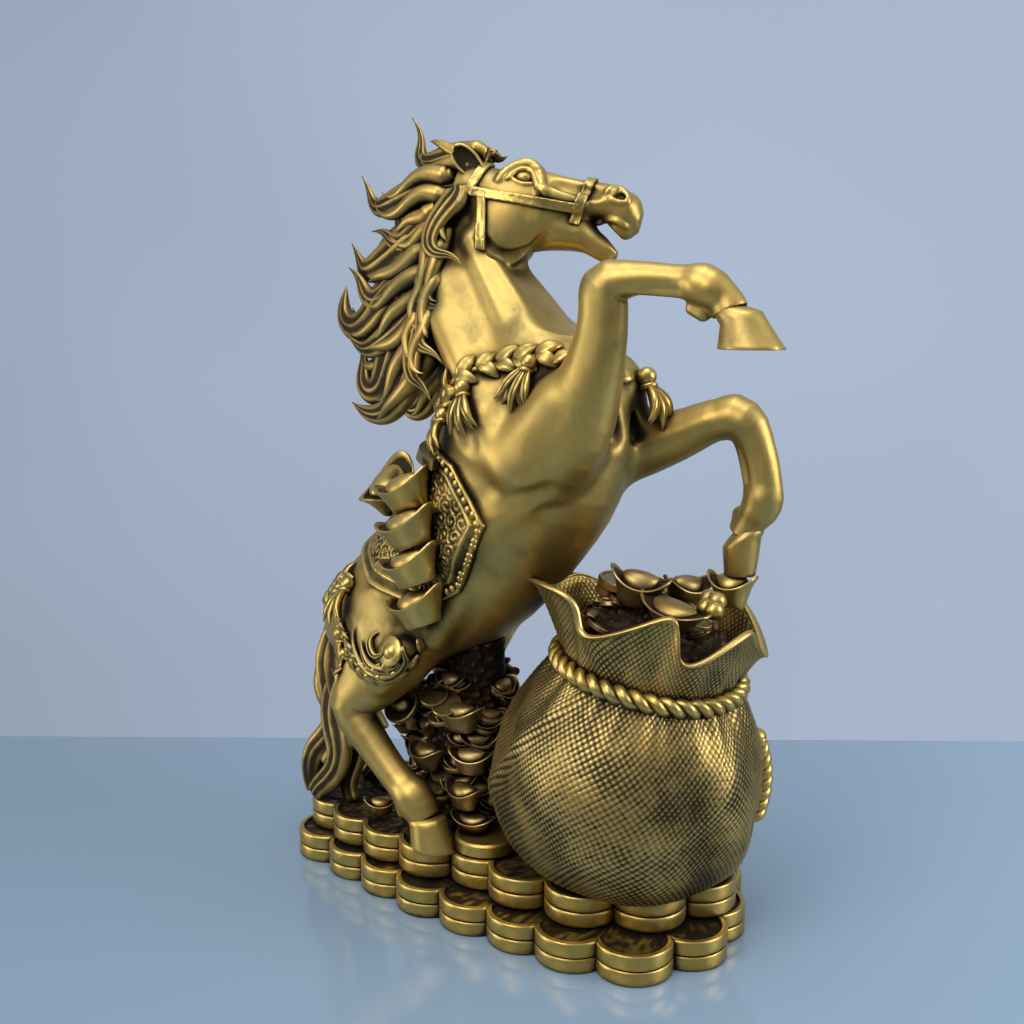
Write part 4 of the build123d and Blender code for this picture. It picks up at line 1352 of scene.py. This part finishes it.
ROPE_RADII, _ = in_bag(ROPE)
NECK = (ROPE_RADII.min() + ROPE_RADII.max()) / 2 - 2.5
BAG_SIDES = 480
PLEATS = 19  # round the bag's neck
WEAVE = 240  # half cells of cloth round the bag
WEAVE_ROW = 1.55
WEAVE_HIGH = 0.55


def bag_point(turn, radius, height):
    """Points about the bag's own axis; height 0 is the rope."""
    return (
        BAG_MOUTH
        + (radius * np.cos(turn))[..., None] * BAG_AXES[0]
        + (radius * np.sin(turn))[..., None] * BAG_AXES[1]
        + np.broadcast_to(height, np.shape(turn))[..., None] * BAG_AXES[2]
    )


def weave(turn, height, lean=0.0):
    """Staggered oval threads, from 0 in the gaps to 1 on top."""
    a = WEAVE * turn / (2 * math.pi) + lean
    b = height / WEAVE_ROW
    return np.abs(np.sin(math.pi * (a + b) / 2) * np.sin(math.pi * (a - b) / 2)) ** 0.7


def sack_piece():
    radius, height = in_bag(node_mesh("bag_sack")[0])
    low = height.min()
    steps = np.linspace(low + 4, 1.0, 26)
    widest = [radius[np.abs(height - h) < 4.5].max() for h in steps[1:-1]]
    widest = np.convolve([widest[0]] + widest + [NECK], [0.25, 0.5, 0.25], "same")
    path_h = np.concatenate([[low + 0.2, low + 0.6, low + 2.5], steps[1:-1], [1.5]])
    path_r = np.concatenate([[3, 26, 34], widest[1:-1], [NECK]])
    path = smooth_path(np.column_stack([path_r, path_h]), 205)
    turn = around(BAG_SIDES)[None, :]
    r, h = path[:, :1], path[:, 1:]
    t = (h - h.min()) / np.ptp(h)
    swirl = 1.1 * np.sin(math.pi * t) + 0.6 * t
    folds = 1.9 * np.sin(5 * turn + 5.5 * t + 1.2 * np.sin(2 * turn)) * np.sin(math.pi * t) ** 0.8
    ridge = np.clip(np.sin(4 * turn - 6.5 * t + 1.9 + 0.8 * np.sin(3 * turn)), 0, 1) ** 6
    folds = folds + 2.2 * ridge * np.sin(math.pi * np.clip(t, 0, 1)) ** 1.2
    near_neck = np.clip((t - 0.72) / 0.28, 0, 1) ** 1.5
    pleats = near_neck * (1.4 * np.sin(PLEATS * turn + 2 * swirl) + 0.8 * np.sin(31 * turn + 1.0))
    cloth = weave(turn, h, lean=1.8 * ridge + 0.9 * np.sin(5 * turn + 5 * t))
    thin = np.clip(r / 30, 0, 1)
    total = r + (folds + pleats) * thin * 0.9 + WEAVE_HIGH * (cloth - 0.5) * thin
    rings = bag_point(turn + 0 * r, total, h + 0 * turn)
    rings[..., 2] = np.maximum(rings[..., 2], box_mm("bag_sack")[0][2])
    relief = 0.1 + 0.9 * cloth * (0.6 + 0.4 * np.clip(0.5 + folds / 3, 0, 1))
    cast("bag_sack", [swept(rings, relief)], SACK)


# Round the mouth: degrees from the bag's +X, rim height above the rope, how far it flares.
# fmt: off
MOUTH = [
    (0, 27, 7), (14, 22, 9), (30, 19, 10), (48, 23, 9), (70, 29, 11), (95, 21, 7), (120, 28, 10),
    (145, 20, 7), (170, 28, 10), (190, 23, 13), (209, 30, 17), (226, 33, 14), (241, 31, 8), (257, 20, 9),
    (275, 28, 6), (294, 37, 4), (302, 31, 6), (311, 19, 11), (328, 27, 8), (345, 33, 8),
]
# fmt: on
MOUTH_SMOOTH = 170  # passes of a three-point average round the mouth
MOUTH_SWING = 1.5  # what the waves are made larger by, because smoothing flattens them
MOUTH_FOLD = 0.013  # radians the rim leans sideways for each mm it stands above its mean
RUFFLE_WALL = 1.9


def mouth_wave(turn):
    """Rim height and flare at each angle, through MOUTH with its corners rounded."""
    degrees, high, flare = np.array(MOUTH, float).T
    out = []
    for values in (high, flare):
        values = np.interp(np.degrees(turn) % 360, degrees, values, period=360)
        middle = values.mean()
        for _ in range(MOUTH_SMOOTH):
            values = (np.roll(values, 1) + 2 * values + np.roll(values, -1)) / 4
        out.append(middle + (values - middle) * MOUTH_SWING)
    return out


def ruffle_piece():
    """The bag's wavy mouth, up its outside and down its inside."""
    turn = around(BAG_SIDES)
    high, flare = mouth_wave(turn)
    lean = MOUTH_FOLD * (high - high.mean())
    steps = np.linspace(0, 1, 60)
    rings, relief = [], []
    for wall, order in ((0.0, steps), (RUFFLE_WALL, steps[::-1])):
        for v in order:
            pleat = 1.3 * math.sin(math.pi * min(1, v * 1.1)) * np.sin(PLEATS * turn + 0.6 + 1.5 * v)
            lip = 1.6 * np.clip((v - 0.86) / 0.14, 0, 1) ** 2
            r = NECK - 0.6 - wall + flare * v**1.25 + pleat * (1 - v) + lip - 0.6 * wall * (v > 0.98)
            h = -1.5 + (high + 1.5) * v - (0 if wall else 0.5 * lip)
            cloth = weave(turn, high * v)
            if v < 0.96:
                r = r + WEAVE_HIGH * 0.9 * (cloth - 0.5) * (-1 if wall else 1)
            rings.append(bag_point(turn + lean * v**1.6, r, h))
            relief.append(0.15 + 0.85 * cloth if v < 0.94 else np.ones_like(turn))
    co, faces, relief = swept(rings + rings[:1], np.array(relief + relief[:1]))
    cast("bag_ruffle", [(co, faces[:-2], relief)], SACK)


def twisted(path, out, turns, radius, strands=2, ends=True):
    """A rope of wound strands along a path."""
    path = np.asarray(path, float)
    along = unit(np.gradient(path, axis=0))
    out = unit(out - (out * along).sum(1)[:, None] * along)
    side = np.cross(along, out)
    t = np.linspace(0, 1, len(path))
    parts = []
    for k in range(strands):
        angle = 2 * math.pi * (turns * t + k / strands)
        wind = out * np.cos(angle)[:, None] + side * np.sin(angle)[:, None]
        middle = path + wind * radius * 0.52
        size = radius * 0.62 * (np.minimum(1, np.minimum(t, 1 - t) * 30 + 0.1) if ends else np.ones_like(t))
        parts.append(strand(middle, size, size, wind, 0, 12))
    return parts


def rope_pieces():
    turn = np.linspace(0, 2 * math.pi, 37 * 12 + 1)
    ring = bag_point(turn, np.full_like(turn, NECK + 2.6), 0.5 * np.sin(3 * turn))
    out = bag_point(turn, np.full_like(turn, NECK + 9), 0 * turn) - BAG_MOUTH
    cast("bag_rope", twisted(ring, out, 19, 3.6, ends=False), TACK)
    cloud, _ = node_mesh("bag_rope_tassel")
    low, high = cloud[:, 2].min(), cloud[:, 2].max()
    middle = middle_of(cloud)
    out = unit(vec(*(middle - BAG_MOUTH)[:2], 0))
    spots = []
    for f in np.linspace(0, 1, 9):
        bow = 3.5 * math.sin(math.pi * f)
        spots.append(vec(*middle[:2], high + (low - high) * f) + out * (bow - 2))
    path = smooth_path(spots, 110)
    parts = twisted(path, np.broadcast_to(out, path.shape), 4.0, 4.0)
    parts.append(ball(path[0], (4.4, 4.4, 3.8)))
    cast("bag_rope_tassel", parts, TACK)


FILL_DOME = 13  # how much lower the bag's contents are at FILL_RADIUS than in the middle
FILL_RADIUS = 32


def mouth_pieces():
    """What shows in the bag's mouth."""
    _, height = in_bag(node_mesh("bag_fill")[0])
    top, low = height.max(), height.min()
    turn = around(96)
    rings = []
    slope = [(x, top - FILL_DOME * (x / FILL_RADIUS) ** 2) for x in np.linspace(31, 1, 24)]
    for r, h in [(28, low + 1), (31.5, low + 6)] + slope:
        rough = rng.uniform(-0.9, 0.9, len(turn)) * min(1, r / 8)
        rings.append(bag_point(turn, np.full(len(turn), r) + 0.5 * rough, h + rough * (h > low + 6)))
    parts = [swept(rings, 0.3)]
    for _ in range(34):
        angle, r = rng.uniform(0, 2 * math.pi), 30 * math.sqrt(rng.uniform(0.02, 1))
        spot = bag_point(np.array([angle]), np.array([r]), top - FILL_DOME * (r / FILL_RADIUS) ** 2)[0]
        tilt = axes_from(BAG_UP + rng.normal(size=3) * 0.35, rng.normal(size=3))
        if rng.uniform() < 0.55:
            parts.append(coin_disc(spot, tilt, rng.uniform(4.5, 6.5), 2.2))
        else:
            parts.append(boat(spot - tilt[2] * 3, tilt, rng.uniform(12, 16), 8, 6, 24))
    cast("bag_fill", parts, HEAP, 40)
    each("bag_ingots", boat_like, COPPER, 40)
    each("foothold_ingot", boat_like, TACK, 40)

    def coin(co):
        radius = np.ptp((co - co.mean(0)) @ BAG_AXES[0]) / 2
        return coin_disc(middle_of(co), BAG_AXES, radius, 4)

    each("bag_coins", coin, COPPER, 40)
    parts = []
    for co, _ in islands("bag_berries"):
        radius = np.ptp(co[:, 2]) / 2
        parts.append(ball(middle_of(co), (radius,) * 3, None, 14, 20))
        parts.append(ball(middle_of(co) + vec(0.3, -0.5, 1) * radius * 0.82, (0.9, 0.9, 0.6), None, 6, 10))
    cast("bag_berries", parts, TACK)


# ---- treasure heap under the belly --------------------------------------------------------------

HEAP_SIDE = vec(-57, 1, 70)  # middle of the loose ingots between the mound and the near hind leg
# The dish turned round its own axis: radius, height.
DISH = [(0.3, -3), (5, -3), (8.2, -1.4), (9.4, 1.2), (9.2, 2.2), (8.2, 2.0), (7.4, 0.4), (4, -0.6)]
DISH += [(0.3, -0.8)]


def heap_pieces():
    """A rough core studded with coins and boats, and the larger ingots, dish and pearl in front."""
    cloud, tris = node_mesh("heap_mound")
    core = Field(cloud.min(0) - 6, cloud.max(0) + 6, 1.0)
    core.add_mesh(cloud, tris, 0)
    co, quads = core.quads()
    outward = core.normal(co)
    rough = sum(np.sin(co @ (unit(rng.normal(size=3)) * 2 * math.pi / s)) for s in (9, 7, 5, 4, 3))
    parts = [(co + outward * (rough * 0.28 - 0.6)[:, None], quads.tolist(), np.full(len(co), 0.25))]
    low, high = cloud.min(0), cloud.max(0)
    stud = np.flatnonzero((co[:, 2] > low[2] + 4) & (co[:, 2] < low[2] + 0.78 * (high[2] - low[2])))
    for pick in rng.choice(stud, 150, replace=False):
        spot, out = co[pick], outward[pick]
        tilt = axes_from(UP + out * 0.45 + rng.normal(size=3) * 0.12, np.cross(out, UP))
        if rng.uniform() < 0.5:
            parts.append(coin_disc(spot, tilt, rng.uniform(5, 7.5), 2.6))
        else:
            size = rng.uniform(13, 19)
            parts.append(boat(spot - tilt[2] * 2, tilt, size, size * 0.6, size * 0.45, 24))
    for _ in range(34):
        spot = HEAP_SIDE + rng.normal(size=3) * (6, 5, 9)
        tilt = axes_from(UP + rng.normal(size=3) * 0.25, rng.normal(size=3))
        size = rng.uniform(13, 18)
        parts.append(boat(spot, tilt, size, size * 0.62, size * 0.45, 24))
    cast("heap_mound", parts, HEAP, 45)
    each("heap_ingots", lambda co: boat_like(co, UP), COPPER, 40)
    dish_lie, coin_lie = (axes_from(up, (1, 0, 0)) for up in ((-0.1, -0.8, 0.6), (0.1, -0.5, 0.8)))
    each("heap_dish", lambda co: turned(DISH, middle_of(co), dish_lie, 40), COPPER)
    each("heap_pearl", lambda co: ball(middle_of(co), (4.8, 3.6, 4), dish_lie, 14, 20), TACK)
    each("heap_coins", lambda co: coin_disc(middle_of(co), coin_lie, 7, 2.6), COPPER, 40)


body, eyes = horse_field()
horse_pieces(body)
hoof_pieces()
ear_pieces()
eye_pieces(eyes)
strap_pieces(body)
hair_pieces()
cloth_piece(body)
garland_pieces(body)
tassel_pieces(body)
load_pieces(body)
plinth_pieces()
sack_piece()
ruffle_piece()
rope_pieces()
mouth_pieces()
heap_pieces()

# ---- stage --------------------------------------------------------------------------------------

VIEW_AZIMUTH = math.radians(33)  # how far the camera looks away from +Y, towards -X
VIEW_PITCH = math.radians(10)  # how far down it looks
CAMERA_AT = vec(0.290, -0.447, 0.272)
FOCAL = 42.2  # mm, for a sensor 36 mm wide
TABLE_EDGE = 0.72  # from the camera, along its azimuth
WALL_AWAY = 2.4
STATUE = vec(0, 0, 0.16)  # what the lights face
TABLE_BLUE = (0.187, 0.262, 0.343)
WALL_BLUE = (0.33, 0.386, 0.484)
# Name, azimuth in degrees, height, distance and size in metres, watts, colour.
LIGHTS = [
    ("key", -42, 0.95, 1.1, 0.75, 10.2, (1.0, 0.98, 0.95)),
    ("fill", 70, 0.55, 1.2, 0.6, 9, (0.95, 0.98, 1.0)),
    ("top", -10, 1.5, 0.25, 0.7, 9, (1, 1, 1)),
    ("low", -85, 0.2, 1.2, 0.5, 4, (1, 1, 1)),
]
RIGHT = vec(math.cos(VIEW_AZIMUTH), math.sin(VIEW_AZIMUTH), 0)
DEEP = vec(-math.sin(VIEW_AZIMUTH), math.cos(VIEW_AZIMUTH), 0)


def plain(name, colour, rough, glow, reach, slope):
    """A plain studio surface, faintly uneven, with light painted on that makes it paler by slope to the
    right, over its reach in metres.
    """
    mat = bpy.data.materials.new(name)
    shade = Shade(mat)
    place = shade.node("TexCoord").outputs["Object"]
    noise = shade.node("TexNoise", Vector=place, Scale=1.6, Detail=1.0).outputs["Fac"]
    dull, bright = (tuple(c * share for c in colour) for share in (0.9, 1.05))
    uneven = shade.ramp(noise, (0.0, dull), (1.0, bright))
    # Painted light: the colour, which also feeds the glow, grows paler towards the right across reach metres
    # either side of the camera.
    sideways = shade.node("VectorMath", place, RIGHT, operation="DOT_PRODUCT").outputs["Value"]
    middle = float(CAMERA_AT @ RIGHT)
    painted_light_ramp = shade.node("MapRange", sideways, middle - reach, middle + reach, 1 - slope, 1 + slope)
    tone = shade.node("VectorMath", uneven, operation="SCALE", Scale=painted_light_ramp.outputs["Result"])
    tone = tone.outputs["Vector"]
    shader = shade.tree.nodes["Principled BSDF"]
    shade.feed(shader.inputs["Base Color"], tone)
    shade.feed(shader.inputs["Emission Color"], tone)
    shader.inputs["Emission Strength"].default_value = glow
    shader.inputs["Roughness"].default_value = rough
    return mat


def sheet(name, corners, material):
    mesh = bpy.data.meshes.new(name)
    mesh.from_pydata([tuple(p) for p in corners], [], [tuple(range(len(corners)))])
    mesh.materials.append(material)
    linked(name, mesh)


def stage():
    """A pale glassy table with a plain wall well behind it."""
    below = vec(*CAMERA_AT[:2], 0)
    near, far = below - DEEP * 0.8, below + DEEP * TABLE_EDGE
    side, slant = RIGHT * 1.5, DEEP * 0.02
    table = [near - side, near + side, far + side - slant, far - side + slant]
    # Both sheets carry painted light, paler towards the right.
    sheet("table", table, plain("table_top", TABLE_BLUE, rough=0.12, glow=0.0, reach=0.3, slope=0.17))
    wall, side = below + DEEP * WALL_AWAY, RIGHT * 2.6
    foot, head = -UP * 1.2, UP * 2.2
    corners = [wall - side + foot, wall + side + foot, wall + side + head, wall - side + head]
    sheet("wall", corners, plain("wall", WALL_BLUE, rough=0.9, glow=0.7, reach=1.0, slope=0.11))


def soft_light(name, azimuth, height, distance, size, power, colour):
    """A square light that faces the statue; azimuth runs from the camera towards its right."""
    lamp = bpy.data.lights.new(name, "AREA")
    lamp.size = size
    lamp.energy = power
    lamp.color = colour
    a = math.radians(azimuth)
    spot = (RIGHT * math.sin(a) - DEEP * math.cos(a)) * distance + UP * height
    light = linked(name, lamp)
    light.location = spot
    light.rotation_euler = Vector(STATUE - spot).to_track_quat("-Z", "Y").to_euler()


def room():
    """Dim surroundings, brighter overhead."""
    world = bpy.data.worlds.new("room")
    shade = Shade(world)
    place = shade.node("TexCoord").outputs["Generated"]
    height = shade.node("SeparateXYZ", Vector=place).outputs["Z"]
    sky = shade.ramp(height, (0.0, (0.035, 0.040, 0.048)), (0.9, (0.75, 0.80, 0.86)))
    shade.feed(shade.tree.nodes["Background"].inputs["Color"], sky)
    bpy.context.scene.world = world


def camera():
    lens = bpy.data.cameras.new("camera")
    lens.sensor_width = 36
    lens.lens = FOCAL
    eye = linked("camera", lens)
    eye.location = CAMERA_AT
    eye.rotation_euler = (math.radians(90) - VIEW_PITCH, 0, VIEW_AZIMUTH)
    bpy.context.scene.camera = eye


camera()
stage()
room()
for light in LIGHTS:
    soft_light(*light)
bpy.context.scene.view_settings.view_transform = "Standard"
